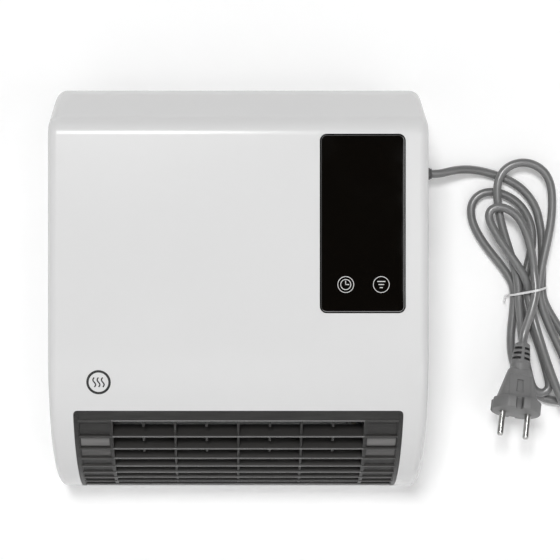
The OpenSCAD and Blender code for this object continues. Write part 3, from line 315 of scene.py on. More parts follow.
cord_d = 6.4
low = 4.3  # the middle of a strand that lies on the wall
tie_x, tie_z = 222.5, -2
lead = [(147, 15, 87.5), (153.4, 15, 87.5), (161, 14, 89.5), (170, 11, 91), (180, 7.5, 91), (190, 4.8, 89.3),
        (199, low, 86.6), (208, low, 83), (216.5, low, 77.5), (223.5, low, 70), (228.5, low, 61),
        (231, low, 51), (232.6, low, 40), (233, low, 26.4), (233, low, 18)]
# The seven passes through the tie: how far beside its middle, and how far from the wall
passes = [(10.5, low), (-11, low), (-3.8, low), (-8.8, 11.5), (7, 11.5), (-1.5, 13.4), (3, 20.8)]
# The loops between them: up or down, reach, half width, lean, side, and both strands' distance
# from the wall
loops = [(-1, 84, 20, 0.34, 1, low, low), (1, 76.5, 20.5, -0.35, -1, low, low),
         (-1, 78, 6, 0.26, 1, 11.5, 11.5), (1, 98.5, 17.5, -0.055, -1, 11.5, 11.5),
         (-1, 95, 6.5, 0.43, 1, 11.5, 18.5), (1, 64.5, 11, -0.53, -1, 18.5, 18.5)]


def loop_points(k):
    """A strand out from the tie, half a turn round the tip, and a strand back."""
    way, reach, half, lean, side, first, second = loops[k]
    (here, here_d), (after, after_d) = passes[k], passes[k + 1]
    for i in range(1 if k else 0, 25):
        on_strand = min(i / 9, (24 - i) / 9, 1)
        turn = pi * min(max((i - 9) / 6, 0), 1)
        along, out = reach - half + half * sin(turn), half * cos(turn)
        if on_strand < 1:
            along = (reach - half) * on_strand
            out = half * sin(pi / 2 * on_strand ** 0.9) ** 2 * (1 if i < 9 else -1)
        lift = ease(along / (45 if way < 0 else 16))
        off_wall = first + (second - first) * ease((i - 9) / 6)
        leant = lean * along * along / (along + 20)
        yield (tie_x + here + (after - here) * ease(i / 24) + leant + side * out,
               (here_d if i < 12 else after_d) * (1 - lift) + off_wall * lift, tie_z + way * along)


plug_turn = Matrix.Rotation(radians(9), 3, "Y") @ Matrix.Rotation(radians(-17.5), 3, "X")
plug_top = at(214.8, 25.2, -41.7)


def on_plug(x, y, down):
    """A point on the plug: millimetres across its pins, towards the wall and down from its sleeve's top."""
    return plug_top + plug_turn @ Vector((x, y, -down)) / 1000


coiled = [point for k in range(6) for point in loop_points(k)]
tail = [(224.1, 22.2, -9), (221.6, 23, -17.5), (218.6, 23, -26.5)]
chosen = [at(*p) for p in lead + coiled + tail] + [on_plug(0, 0, -cord_d - 0.6), plug_top]
route = smooth_route(chosen, 0.0022)
for _ in range(4):
    route[1:-1] = [(a + 2 * b + c) / 4 for a, b, c in zip(route, route[1:], route[2:])]
cord_length = sum((b - a).length for a, b in zip(route, route[1:]))

sheath = Finish("cord_sheath")
cord_grain = sheath.noise(900, 2)
cord_finish = sheath.surface(
    Base_Color=sheath.blend(sheath.noise(30, 3), grey(102), grey(118)),
    Roughness=sheath.share(cord_grain, 0.0, 1.0) * 0.12 + 0.24, Specular_IOR_Level=1.0,
    Normal=sheath.bump(cord_grain, 0.00005))
cord = solid("mains_cord", swept(route, cord_d / 2000, 14), cord_finish,
             replaces=("cord_lead", "cord_hank"), slot="cord_grey", smooth=60)

# ---- the twist tie round the hank ----
# A flat white plastic ribbon with a steel wire inside, laid once round the seven
# strands and twisted to itself on the left.
tie_tilt = radians(12)


def on_tie(across, depth, up):
    """A point by the tie: millimetres along its slope, from the wall, and square to its slope."""
    return at(tie_x + across * cos(tie_tilt) - up * sin(tie_tilt), depth,
              tie_z + across * sin(tie_tilt) + up * cos(tie_tilt))


def wrap(angle, grow):
    """Where the ribbon lies on the strands at an angle round them."""
    way = Vector((cos(angle), sin(angle)))
    return max((Vector(p) for p in passes), key=lambda p: p.dot(way)) + way * (cord_d / 2 + grow)


def twisted_end(s, turn):
    """A point of one of the two ends, millimetres along the curl that they make together."""
    return on_tie(-15.2 - 4.4 * sin(0.24 * s) + 0.5 * cos(turn + s * 1.9), 3 + 0.47 * s,
                  0.6 - 2.8 * (1 - cos(0.24 * s)) + 0.5 * sin(turn + s * 1.9))


band = [[on_tie(*wrap(angle, 0.54 + 0.4 * cos(t)), 0.88 * sin(t)) for t in around(10)]
        for angle in around(120)]
ends = [swept([twisted_end(7.8 * i / 40, turn) for i in range(41)], 0.0005, 8) for turn in (0, pi)]
ribbon = Finish("tie_ribbon")
tie_finish = ribbon.surface(
    Base_Color=ribbon.blend(ribbon.noise(160, 3), grey(222), grey(240)), Roughness=0.4,
    Normal=ribbon.bump(ribbon.noise(700, 2), 0.00006))
tie = solid("tie_ribbon", join(loft(band + band[:1], capped=False), *ends), tie_finish,
            replaces=("twist_tie",), slot="tie_white", smooth=50)

# ---- the plug and its sleeve ----
# One grey moulding on two nickel-plated brass pins: a sleeve cut by three rings of
# slots, a body that flares from it, and a round contour flange with two earth notches.
sleeve_r, sleeve_end, slot_top, slot_foot, slot_pitch, slot_deep = 5.6, 15.6, 4, 5.6, 4, 2.1
sleeve = []
for down in (22.4 * i / 112 for i in range(113)):
    ring = []
    for a in around(72):
        r = sleeve_r + 0.11 * down if down < sleeve_end else 7.2 + 0.4 * ease((down - sleeve_end) / 1.2)
        r -= 0.5 * ease(1 - down / 0.8)
        in_slot = any(slot_top + slot_pitch * k <= down <= slot_foot + slot_pitch * k for k in range(3))
        r -= slot_deep * (in_slot and abs(sin(2 * a)) > 0.35)
        ring.append(on_plug(r * cos(a), r * sin(a), down))
    sleeve.append(ring)

flare = []
for down in (19.5 + 26.5 * i / 60 for i in range(61)):
    t = (down - 20) / 25
    wide = 7.4 + 1.4 * ease((down - 19.5) / 2.5) + 6.7 * max(t - 0.05, 0) / 0.95
    deep = 6.3 + 1.5 * ease((down - 19.5) / 3.5) + 4.3 * max(t - 0.14, 0) / 0.86
    ring = []
    for a in around(144):
        x = wide * copysign(abs(cos(a)) ** 0.62, cos(a))
        y = deep * copysign(abs(sin(a)) ** 0.62, sin(a))
        panel = ease((8.4 - abs(x)) / 0.5) * ease((down - 26) / 0.7) * ease((44 - down) / 0.7)
        hollow = ease((2.5 - abs(x)) / 0.4) * ease((down - 30) / 0.6) * ease((40.6 - down) / 0.6)
        sunk = 1 - (0.5 * panel + 0.9 * hollow) / max(abs(y), 4) if abs(y) > deep * 0.6 else 1
        ring.append(on_plug(x, y * sunk, down))
    flare.append(ring)

flange_r, flat_y, notch_half, notch_y = 18.6, 16.6, 2.7, 13.1
rim = []
for a in around(120):
    x, y = flange_r * cos(a), flange_r * sin(a)
    if abs(y) > flat_y:
        y = copysign(flat_y if abs(x) > notch_half else notch_y, y)
    if x < 0 and abs(y) < 4:
        x = -17.3
    rim.append((x, y))
flange = loft([[on_plug(x * (1 - inset / 18), y * (1 - inset / 18), down) for x, y in rim]
               for down, inset in ((45, 0.9), (45.25, 0.35), (45.8, 0), (53.2, 0), (53.75, 0.35), (54, 0.9))])
moulding = Finish("plug_moulding")
plug_grain = moulding.noise(1100, 3)
# Painted shade: where the AO node finds the moulding closed in, as in the earth notches, its colour is
# painted dark grey
painted_recess_shade = moulding.node("ShaderNodeAmbientOcclusion", {"samples": 8}, {"Distance": 0.008}, out="AO")
unshaded_grey = moulding.blend(moulding.noise(60, 4), grey(110), grey(126))
plug_finish = moulding.surface(
    Base_Color=moulding.blend(moulding.share(painted_recess_shade, 0.35, 0.9), grey(44), unshaded_grey),
    Roughness=moulding.share(plug_grain, 0.2, 0.8) * 0.14 + 0.4, Specular_IOR_Level=0.5,
    Normal=moulding.bump(plug_grain, 0.00012))
plug = solid("plug_moulding", join(loft(sleeve), loft(flare), flange), plug_finish,
             replaces=("plug_body",), slot="plug_grey", smooth=38)

tip = [(0, 46), (2.38, 46), (2.38, 70.6), (2.3, 71.5), (2.05, 72.2), (1.6, 72.75), (0.95, 73), (0, 73.03)]
pins = [turned(tip, lambda x, y, down, s=s: on_plug(9.5 * s + x, y, down), 40) for s in (-1, 1)]
nickel = Finish("pin_nickel")
worn = nickel.noise(700, 4, (1, 1, 0.15))
pin_finish = nickel.surface(
    Base_Color=nickel.blend(worn, grey(176, 1, 1), grey(206, 1, 1)), Metallic=1.0,
    Roughness=nickel.share(worn, 0.2, 0.9) * 0.16 + 0.16, Normal=nickel.bump(worn, 0.00002))
plug_pins = solid("plug_pins_bright", join(*pins), pin_finish,
                  replaces=("plug_pins",), slot="pin_nickel", smooth=50)

# ---- the cord's gland in the side wall ----
# A dark grey rubber grommet. Its collars grip the wall, and its ringed sleeve tapers
# onto the cord.
half_w, wall = 134, 2.5


def on_cord(x, y, along):
    return at(along, 15 + x, 87.5 + y)


outside = [(3.25, half_w - 5.5), (6, half_w - 5.5), (6, half_w - 2.6), (4.25, half_w - 2.55),
           (4.25, half_w + 0.05), (5.7, half_w + 0.05), (6, half_w + 0.35), (6, half_w + 1.9),
           (5.6, half_w + 2.4)]
for k in range(4):
    outside += [(5.2 - 0.2 * k, half_w + 2.5 + 2.5 * k), (5.1 - 0.2 * k, half_w + 4.1 + 2.5 * k),
                (4.3 - 0.2 * k, half_w + 4.2 + 2.5 * k), (4.25 - 0.2 * k, half_w + 4.9 + 2.5 * k)]
outside += [(4.2, half_w + 12.5), (3.8, half_w + 13), (3.25, half_w + 13)]
rubber = Finish("gland_rubber")
rubber_grain = rubber.noise(800, 3)
gland_finish = rubber.surface(Base_Color=rubber.blend(rubber.noise(90, 3), grey(88), grey(102)),
                              Roughness=rubber_grain * 0.2 + 0.5, Normal=rubber.bump(rubber_grain, 0.00008))
solid("cord_gland_ringed", turned(outside, on_cord, 40), gland_finish,
      replaces=("cord_gland",), slot="cord_grey", smooth=30)
shown("cord_tail", cord_finish)


def plastic(name, level, rough=0.4, grain=0.00004, warm=0.0, green=0.0, fine=900):
    """Moulded plastic: slow mottling in its colour, and a fine grain that scatters its shine."""
    made = Finish(name)
    close, slow = made.noise(fine, 2), made.noise(12, 4)
    return made.surface(
        Base_Color=made.blend(slow, grey(level * 0.97, warm, green), grey(level * 1.02, warm, green)),
        Roughness=(close - 0.5) * 0.2 + rough, Normal=made.bump(close, grain))


shown("cord_clamp", plastic("clamp_nylon", 214, 0.45, 0.00006, 5, 3))

# ---- the back shell ----
# A tray in white ABS: a plain back with two keyholes in closed pockets, four screw
# wells, and a row of inlet slots through its top wall.
back_white = Finish("back_shell_white")
back_grain = back_white.noise(1500, 2)
sinks = back_white.noise(7, 3)
shown("rear_shell", back_white.surface(
    Base_Color=back_white.blend(sinks, grey(219), grey(226)),
    Roughness=back_white.share(back_grain, 0.2, 0.8) * 0.12 + 0.34,
    Normal=back_white.bump(back_grain * 0.3 + sinks, 0.00006)))

# ---- the front shell ----
# Gloss white ABS, one moulding 2.5 mm thick: a flat front, a shoulder that slopes up to
# the wall side and a nose that curves in under it. Four screw posts stand inside.
top_z, body_d, back_d, edge_r, nose_h = 148, 125, 30, 7, 107
nose_end = acos(back_d / body_d)
nose_z = nose_h * sin(nose_end) - top_z
drop_h, drop_d = 30, 70
slope = atan(drop_h / drop_d)
shoulder_r, ledge_r = 15, 90
shoulder_c = Vector((body_d - shoulder_r, top_z - drop_h - shoulder_r * (1 - sin(slope)) / cos(slope)))
ledge_c = Vector((body_d - drop_d - ledge_r * (1 - cos(slope)) / sin(slope), top_z - ledge_r))


def nose_at(a, sunk=0.0):
    """A point of the nose at an angle round it, as depth and height, and how far it is sunk in."""
    return Vector((body_d * cos(a), nose_z - nose_h * sin(a))) - sunk * nose_out(a)


def nose_out(a):
    return Vector((cos(a) / body_d, -sin(a) / nose_h)).normalized()


def front_at(z):
    """How far from the wall the front's skin is at a height."""
    if z < nose_z:
        return body_d * sqrt(1 - ((nose_z - z) / nose_h) ** 2)
    return body_d if z < top_z - drop_h else body_d - drop_d + (top_z - z) / (drop_h / drop_d)


outline = [(nose_at(a), Vector((0, -1)) if a == nose_end else nose_out(a))
           for a in (nose_end * (1 - i / 72) for i in range(73))]
for centre, r, first, last, count in ((shoulder_c, shoulder_r, 0, pi / 2 - slope, 16),
                                      (ledge_c, ledge_r, pi / 2 - slope, pi / 2, 12)):
    for a in (first + (last - first) * i / count for i in range(count + 1)):
        outline.append((centre + r * Vector((cos(a), sin(a))), Vector((cos(a), sin(a)))))
outline.append((Vector((back_d, top_z)), Vector((0, 1))))


def skin_rows(half, r, inset):
    """Rows of points across the front: each is the outline, drawn in where the edge turns back."""
    turn = [(half - r * (1 - cos(a)), inset + r * (1 - sin(a))) for a in (pi / 2 * i / 12 for i in range(13))]
    rows = []
    for x, drawn in [(-x, d) for x, d in turn] + turn[::-1]:
        ring = []
        for p, out in outline:
            q = p - drawn * out
            ring.append(at(x, p.x if out.x == 0 else q.x, q.y))
        rows.append(ring)
    return rows


def rounded(w, h, r, steps=8):
    """A rectangle with round corners, as [x, height] pairs about its middle."""
    return [(sx * (w / 2 - r) + r * cos(a), sz * (h / 2 - r) + r * sin(a))
            for sx, sz, start in ((1, 1, 0), (-1, 1, pi / 2), (-1, -1, pi), (1, -1, 3 * pi / 2))
            for a in (start + pi / 2 * i / steps for i in range(steps + 1))]


glass_x, glass_z, glass_w, glass_h, glass_r = 87.2, 46, 60, 125.5, 4.7
outlet_half, outlet_r = 116.8, 3
outlet_top = nose_at(radians(23)).y
outer, inner = skin_rows(half_w, edge_r, 0), skin_rows(half_w - wall, edge_r - wall, wall)
points, faces = loft([o + i[::-1] for o, i in zip(outer, inner)], capped=False)
lines, ring = len(outline), 2 * len(outline)
for start in (0, len(points) - ring):
    faces += [tuple(range(start, start + lines)), tuple(range(start + lines, start + ring)),
              (start, start + lines - 1, start + lines, start + ring - 1)]


def carved(made, *shapes):
    """Cuts shapes out of a piece that has no finish yet."""
    for i, shape in enumerate(shapes):
        cutter = raw("cutter", shape)
        cut = made.modifiers.new("cut_%d" % i, "BOOLEAN")
        cut.operation, cut.solver, cut.object = "DIFFERENCE", "EXACT", cutter
        mesh = bpy.data.meshes.new_from_object(made.evaluated_get(bpy.context.evaluated_depsgraph_get()))
        made.modifiers.clear()
        made.data = mesh
        bpy.data.objects.remove(cutter)
    return made


def prism(ring, depths):
    return loft([[at(x, d, z) for x, z in ring] for d in depths])


glass_hole = [(glass_x + x, glass_z + z) for x, z in rounded(glass_w + 0.3, glass_h + 0.3, glass_r + 0.15)]
mouth = [(x, outlet_top + z - 60) for x, z in rounded(2 * outlet_half, 120, outlet_r)]
shell = carved(raw("front_shell_skin", (points, faces)),
               prism(glass_hole, (body_d - 6, body_d + 2)), prism(mouth, (back_d - 0.5, body_d + 2)))
gloss = Finish("shell_gloss_white")
ripple, dust = gloss.noise(9, 3), gloss.noise(2600, 2)
shell_finish = gloss.surface(
    Base_Color=gloss.blend(gloss.noise(5, 4), grey(218), grey(223)),
    Roughness=dust * 0.06 + 0.2, Specular_IOR_Level=0.3,
    Normal=gloss.bump(ripple + dust * 0.004, 0.0001))
finished(shell, shell_finish, replaces=("front_shell",), slot="shell_white", smooth=32)

case_screws = ((114, 118.5, 3), (126, -102.5, 1.8))
posts = []
for s in (-1, 1):
    for x, z, grip in case_screws:
        end = min(front_at(z - 5.2), front_at(z + 5.2)) - grip
        posts.append(turned([(1.6, 38.05), (4.2, 38.05), (4.2, end), (0, end), (0, 52), (1.6, 52)],
                            lambda a, b, d, x=s * x, z=z: at(x + a, d, z + b), 40))
    for z in (glass_z - 57.75, glass_z + 57.75):
        posts.append(turned([(0.9, 114.05), (2.8, 114.05), (2.8, 123), (0, 123), (0, 120), (0.9, 120)],
                            lambda a, b, d, x=glass_x + 26.5 * s, z=z: at(x + a, d, z + b)))
    # the ledge that the glass lies on: its upright sides, then its top and foot
    shelf = 120.9, 123.1
    posts.append(block(*sorted((glass_x + 22 * s, glass_x + 32.5 * s)), *shelf,
                       glass_z - 65.2, glass_z + 65.2))
    posts.append(block(glass_x - 23, glass_x + 23, *shelf,
                       *sorted((glass_z + 51.75 * s, glass_z + 65.25 * s))))
solid("front_shell_posts", join(*posts), shell_finish, slot="shell_white")

# ---- the outlet grille ----
# One charcoal moulding with a fine grain, snapped in under the nose: nine slats whose
# round front edges run on over the closed louvres of the two end panels.
slats = [radians(27.6)]
for k in range(8):
    slats.append(slats[-1] + radians(4.7 + 2.8 * 0.62 ** k))
deeps = [13.5 * (1 - 0.05 * k) for k in range(9)]
grille_half, panel_w, slat_t, plate_t, rim_w = 116.5, 44.95, 1.6, 2.6, 2.6
field_half, side = 2 * panel_w, grille_half - rim_w
grille_top, grille_end = outlet_top - 0.3, acos((back_d + 0.2) / body_d)


def nose_point(a, x, sunk):
    p = nose_at(a, sunk)
    return at(x, p.x, p.y)


def band_round(first, last, near, deep, x0, x1, steps=16, deep_end=None):
    """A strip round the nose. Its sides x0 and x1 are numbers, or give one for each height."""
    rows = []
    for i in range(steps + 1):
        a = first + (last - first) * i / steps
        under = deep + ((deep if deep_end is None else deep_end) - deep) * i / steps
        z = nose_at(a).y
        left, right = (x(z) if callable(x) else x for x in (x0, x1))
        corners = (left, near), (right, near), (right, under), (left, under)
        rows.append([nose_point(a, x, sunk) for x, sunk in corners])
    return loft(rows)


def corner(z, drawn=0.0):
    """Half the grille's width at a height: its upper corners are round."""
    drop = min(max(grille_top - z, 0), outlet_r)
    return grille_half - drawn - outlet_r + sqrt(max(outlet_r ** 2 - (outlet_r - drop) ** 2, 0))


start = radians(23)
while nose_at(start).y > grille_top:
    start += 0.0005
plate = [band_round(start, slats[0] + radians(0.2), 0.5, plate_t, lambda z: -corner(z), corner, 30),
         band_round(slats[-1] - radians(0.2), grille_end, 0.5, plate_t, -side - 0.4, side + 0.4)]
for s in (-1, 1):
    for near, x0, x1 in ((0.5, field_half - 0.8, field_half + 1.6), (1.6, field_half + 1, side),
                         (0.5, side - 0.8, side + 0.2)):
        plate.append(band_round(slats[0], slats[-1], near, plate_t, *sorted((s * x0, s * x1)), 30))
    rim_sides = (lambda z, s=s: s * corner(z, rim_w)), (lambda z, s=s: s * corner(z))
    plate.append(band_round(start, grille_end, 0, plate_t, *rim_sides[::s], 60))
# The dividers stand at whole panels and run down the nose. Short ribs stand between them.
for i in range(-2, 3):
    plate.append(band_round(slats[0], slats[-1], 0.5 if abs(i) == 2 else 1.3, 12,
                            i * panel_w - slat_t / 2, i * panel_w + slat_t / 2, 16, deeps[-1] - 1.5))
for i in (-1.5, -0.5, 0.5, 1.5):
    for k in range(3):
        plate.append(band_round(slats[k], slats[k] + radians(2.9 - 0.5 * k), 1, 12,
                                i * panel_w - slat_t / 2, i * panel_w + slat_t / 2, 2))
# The tongue that goes up behind the shell's lip, and the ledge at the foot
tongue_half = 108.5
plate.append(band_round(radians(19), radians(26), 2.85, 4.5, -tongue_half, tongue_half, 6))
plate.append(band_round(radians(24.8), radians(26), 1, 4.5, -tongue_half, tongue_half, 2))
plate.append(block(-112.5, 112.5, 25, 36, -145.45, -143.8))


def charcoal(name, level, rough, grain=0.00009):
    """Charcoal ABS with a spark-eroded grain and faint streaks along its length."""
    made = Finish(name)
    close, streaks = made.noise(1300, 4), made.noise(260, 4, (0.12, 1, 1))
    return made.surface(
        Base_Color=made.blend(made.share(streaks, 0.3, 0.7), grey(level - 6, 1, 0), grey(level + 12, 1, 0)),
        Roughness=(close - 0.5) * 0.25 + made.share(streaks, 0.3, 0.8) * 0.06 + rough,
        Normal=made.bump(close, grain))


grille_finish = charcoal("grille_grained", 34, 0.42)
solid("grille_frame", join(*plate), grille_finish,
      replaces=("outlet_grille",), slot="grille_charcoal", smooth=30)
# The closed louvres' floors. The second and third are painted paler: painted light glancing off them. All of
# them have the same grain.
floor_x, floor_half = 102.4, 10.2
# The levels 76 and 104 are painted light on the third and second rows' floors
for name, level, rows in (("plain", 31, (0, 3, 4, 5, 6, 7)), ("fine", 76, (2,)), ("painted_palest", 104, (1,))):
    floors = []
    for a, b in ((slats[k], slats[k + 1]) for k in rows):
        a, b = a + (b - a) * 0.2, b - (b - a) * 0.2
        floors += [band_round(a, b, 1.45, 1.7, floor_x * s - floor_half, floor_x * s + floor_half, 3)
                   for s in (-1, 1)]
    solid("grille_floors_" + name, join(*floors), charcoal("floor_" + name, level, 0.5, 0.00006),
          slot="grille_charcoal")


class Maker(Tree):
    """A Geometry Nodes tree in the making, from points that carry their own sizes to one plain mesh."""

    def __init__(self, name):
        self.group = bpy.data.node_groups.new(name, "GeometryNodeTree")
        self.nodes, self.links = self.group.nodes, self.group.links
        for way in ("INPUT", "OUTPUT"):
            self.group.interface.new_socket("Geometry", in_out=way, socket_type="NodeSocketGeometry")
        self.start, self.end = self.nodes.new("NodeGroupInput"), self.nodes.new("NodeGroupOutput")
        self.points, self.given = Value(self, self.start.outputs[0]), {}

    def size(self, name, value):
        """A named input of the tree, in metres or as a number."""
        socket = self.group.interface.new_socket(name, in_out="INPUT", socket_type="NodeSocketFloat")
        self.given[socket.identifier] = value
        return Value(self, self.start.outputs[name])

    def own(self, name, kind="FLOAT"):
        """What each point carries under a name."""
        return self.node("GeometryNodeInputNamedAttribute", {"data_type": kind}, {"Name": name})

    def vector(self, x=0.0, y=0.0, z=0.0):
        return self.node("ShaderNodeCombineXYZ", {}, {0: x, 1: y, 2: z})

    def grown(self, name, rows, shape, turn, stretch, finish):
        """Sets a shape on each row's point, with its turn and stretch, and gives the mesh of them all."""
        placed = self.node("GeometryNodeInstanceOnPoints", {}, {
            "Points": self.points, "Instance": shape, "Rotation": turn, "Scale": stretch})
        plain = self.node("GeometryNodeRealizeInstances", {}, {0: placed})
        coated = self.node("GeometryNodeSetMaterial", {}, {"Geometry": plain, "Material": finish})
        self.links.new(coated.socket, self.end.inputs[0])
        mesh = bpy.data.meshes.new(name)
        mesh.from_pydata([row["place"] for row in rows], [], [])
        for key in [key for key in rows[0] if key != "place"]:
            mesh.attributes.new(key, "FLOAT", "POINT").data.foreach_set("value", [row[key] for row in rows])
        made = bpy.data.objects.new(name, mesh)
        scene.collection.objects.link(made)
        grow = made.modifiers.new("grow", "NODES")
        grow.node_group = self.group
        for identifier, value in self.given.items():
            grow[identifier] = value
        made.data = bpy.data.meshes.new_from_object(made.evaluated_get(bpy.context.evaluated_depsgraph_get()))
        made.modifiers.clear()
        return made


def slat_rows(bars, long):
    """A point for each bar at the nose's skin: bars are [slat, depth, middle, length]."""
    rows = []
    for k, deep, x, w in bars:
        out = nose_out(slats[k])
        rows.append({"place": nose_point(slats[k], x, 0.1), "tilt": atan2(-out.y, out.x),
                     "deep": deep / 10, "long": w / long})
    return rows


maker = Maker("slat_maker")
thick, tip = maker.size("Slat thickness", slat_t / 1000), maker.size("Edge radius", 0.00062)
bar = maker.node("GeometryNodeCurvePrimitiveQuadrilateral", {}, {"Width": 0.01, "Height": thick})
bar = maker.node("GeometryNodeFilletCurve", {"mode": "POLY"}, {"Curve": bar, "Count": 4, "Radius": tip})
bar = maker.node("GeometryNodeTransform", {}, {"Geometry": bar, "Translation": (-0.005, 0, 0)})
line = maker.node("GeometryNodeCurvePrimitiveLine", {}, {"Start": (-0.09, 0, 0), "End": (0.09, 0, 0)})
bar = maker.node("GeometryNodeCurveToMesh", {}, {"Curve": line, "Profile Curve": bar, "Fill Caps": True})
edge = Finish("slat_edges")
across, depth, height = (edge.node("ShaderNodeSeparateXYZ", {}, {0: edge.place}, out=i) for i in range(3))
# How near a point is to the nose's skin: 1 is on it
under = height - nose_z / 1000
squared = depth * depth * (1000 / body_d) ** 2 + under * under * (1000 / nose_h) ** 2
on_skin = edge.node("ShaderNodeMath", {"operation": "SQRT"}, {0: squared})
# Painted highlight: the slats' front edges, where they meet the nose's skin, are painted a lighter grey,
# flecked by the grain
tip_highlight = edge.share(on_skin, 0.9955, 0.9985) * (abs(across) < field_half / 1000)
grain = edge.noise(1300, 4)
edge_finish = edge.surface(
    Base_Color=edge.blend(tip_highlight * edge.share(grain, 0.2, 0.7), grey(56, 1, 0), grey(122)),
    Roughness=(grain - 0.5) * 0.25 + 0.42, Normal=edge.bump(grain, 0.00009))
bars = [(k, deeps[k], 0, 2 * field_half + 2) for k in range(9)]
bars += [(k, 1.9, s * (field_half + side) / 2, side - field_half + 1) for k in range(9) for s in (-1, 1)]
made = maker.grown("grille_slats", slat_rows(bars, 180), bar, maker.vector(maker.own("tilt")),
                   maker.vector(maker.own("long"), maker.own("deep"), 1.0), edge_finish)
finished(made, edge_finish, slot="grille_charcoal", smooth=40)

# ---- the touch panel's glass ----
# Black tempered glass 1.8 mm thick with ground edges, glued flush into the front. Two
# grey ring signs for the touch keys are printed on it: a clock, and plain bars.
def pane_row(inset, depth):
    """The glass's outline, drawn in by an inset, at a distance from the wall."""
    corners = rounded(glass_w - 2 * inset, glass_h - 2 * inset, glass_r - inset, 12)
    return [at(glass_x + x, depth, glass_z + z) for x, z in corners]


pane = [pane_row(inset, depth) for inset, depth in ((0.1, 123.15), (0, 123.3), (0, 124.5), (0.18, 124.78),
                                                    (0.5, 124.93), (0.8, 124.95))]
black = Finish("panel_glass")
smear = black.noise(35, 5)
solid("touch_glass", loft(pane), black.surface(
    Base_Color=grey(5, 2, 0), Roughness=black.share(smear, 0.45, 0.75) * 0.06 + 0.05, Specular_IOR_Level=0.1,
    Normal=black.bump(black.noise(6, 2), 0.00004)),
    replaces=("display_glass",), slot="panel_black", smooth=25)
# The inner line of the ground edge is a grey line. A painted highlight makes it brightest at the right and
# the foot.
rims = [pane_row(inset, depth) for inset, depth in ((0.9, 124.9), (0.94, 124.97),
                                                    (1.16, 124.97), (1.2, 124.9))]
bevel = Finish("glass_edge")
across, height = (bevel.node("ShaderNodeSeparateXYZ", {}, {0: bevel.place}, out=i) for i in (0, 2))
lit = (across > (glass_x + glass_w / 2 - 2) / 1000) + (height < (glass_z - glass_h / 2 + 2) / 1000)
solid("touch_glass_edge", loft(rims + rims[:1], capped=False), bevel.surface(
    Base_Color=bevel.blend(lit * (bevel.noise(60, 2) * 0.6 + 0.6), grey(62), grey(176)),
    Roughness=0.3), slot="panel_black", smooth=60)


def on_glass(x, z):
    return lambda a, b, d: at(x + a, d, z + b)


ink_under, ink_top = 124.93, 124.985
key_z, clock_x, bars_x = 3.2, 75.3, 100.2


def ring_sign(x, r, line=0.45):
    """A printed ring round a touch key."""
    profile = [(r - line, ink_under), (r, ink_under), (r, ink_top), (r - line, ink_top)]
    return turned(profile, on_glass(x, key_z), 64)


signs = [ring_sign(clock_x, 5.8), ring_sign(clock_x, 3.8, 0.5), ring_sign(bars_x, 5.8),
         block(74.9, 75.5, ink_under, ink_top, 3, 5.8), block(74.9, 77.7, ink_under, ink_top, 2.9, 3.5)]
signs += [block(bars_x - w, bars_x + w, ink_under, ink_top, z, z + 0.6)
          for w, z in ((1.1, 0.75), (2, 2.9), (2.9, 5.05))]
print_grey = Finish("key_print")
solid("key_signs", join(*signs), print_grey.surface(
    Base_Color=print_grey.blend(print_grey.noise(500, 3), grey(196), grey(220)), Roughness=0.45),
    slot="panel_black", smooth=0)


# ---- the printed sign on the left of the nose ----
# A plain ring with three short waves, printed in near black on the front shell.
def on_front(x, z, lift):
    return at(x, front_at(z) + lift, z)


def half_way(line, i, wide, closed=False):
    """The way of a line of pairs at one of its points, half the line's width long."""
    if closed:
        behind, ahead = line[i - 1], line[(i + 1) % len(line)]
    else:
        behind, ahead = line[max(i - 1, 0)], line[min(i + 1, len(line) - 1)]
    return Vector((ahead[0] - behind[0], ahead[1] - behind[1])).normalized() * wide / 2


def printed(line, wide, closed=False):
    """A flat print along a line of [x, height] pairs on the front."""
    rows = []
    for i, (x, z) in enumerate(line):
        way = half_way(line, i, wide, closed)
        rows.append([on_front(x - way.y, z + way.x, 0.05), on_front(x + way.y, z - way.x, 0.05),
                     on_front(x + way.y, z - way.x, -0.1), on_front(x - way.y, z + way.x, -0.1)])
    return loft(rows + rows[:1] if closed else rows, capped=not closed)


sign_x, sign_z, sign_r, wave_h = -98.1, -65.4, 7.75, 6.8
circle = [(sign_x + sign_r * cos(a), sign_z + sign_r * sin(a)) for a in around(72)]
waves = [[(sign_x + 3 * j + 0.9 * sin(2 * pi * t), sign_z - wave_h / 2 + wave_h * t)
          for t in (i / 20 for i in range(21))] for j in (-1, 0, 1)]
ink = Finish("sign_ink")
solid("ring_sign", join(printed(circle, 1.7, True), *[printed(wave, 0.95) for wave in waves]), ink.surface(
    Base_Color=ink.blend(ink.noise(300, 3), grey(26), grey(40)), Roughness=0.5),
    slot="shell_white", smooth=0)

# ---- the ducts and the steel end plates ----
# Two ducts pressed from grey heat-proof plastic between two zinc-plated steel plates,
# which stand on feet screwed to the back shell.
shown("duct_rear", plastic("duct_back", 128, 0.52, 0.0001, 0, 1, 500))
shown("duct_front", plastic("duct_front", 132, 0.52, 0.0001, 0, 1, 500))


def metal(name, level, rough=0.3, warm=0.0, green=0.0, stretch=(1, 1, 1), fine=260, blotch=0.0):
    """Metal with fine lines drawn along one way, and a spangle where it is zinc-plated."""
    made = Finish(name)
    drawn = made.noise(fine, 5, stretch)
    tone = made.blend(drawn, grey(level * 0.9, warm, green), grey(level * 1.07, warm, green))
    if blotch:
        spangle = made.share(made.cells(blotch), 0.2, 0.8) * 0.5
        tone = made.blend(spangle, tone, grey(level * 0.86, warm, green))
    return made.surface(Base_Color=tone, Metallic=1.0, Roughness=made.share(drawn, 0.25, 0.8) * 0.2 + rough,
                        Normal=made.bump(drawn, 0.00003))


zinc = metal("zinc_plate", 176, 0.3, 0, 1, (1, 1, 0.1), 300, 220)
for node in ("end_plate_left", "end_plate_right", "motor_bracket_inner", "motor_bracket_outer"):
    shown(node, zinc)

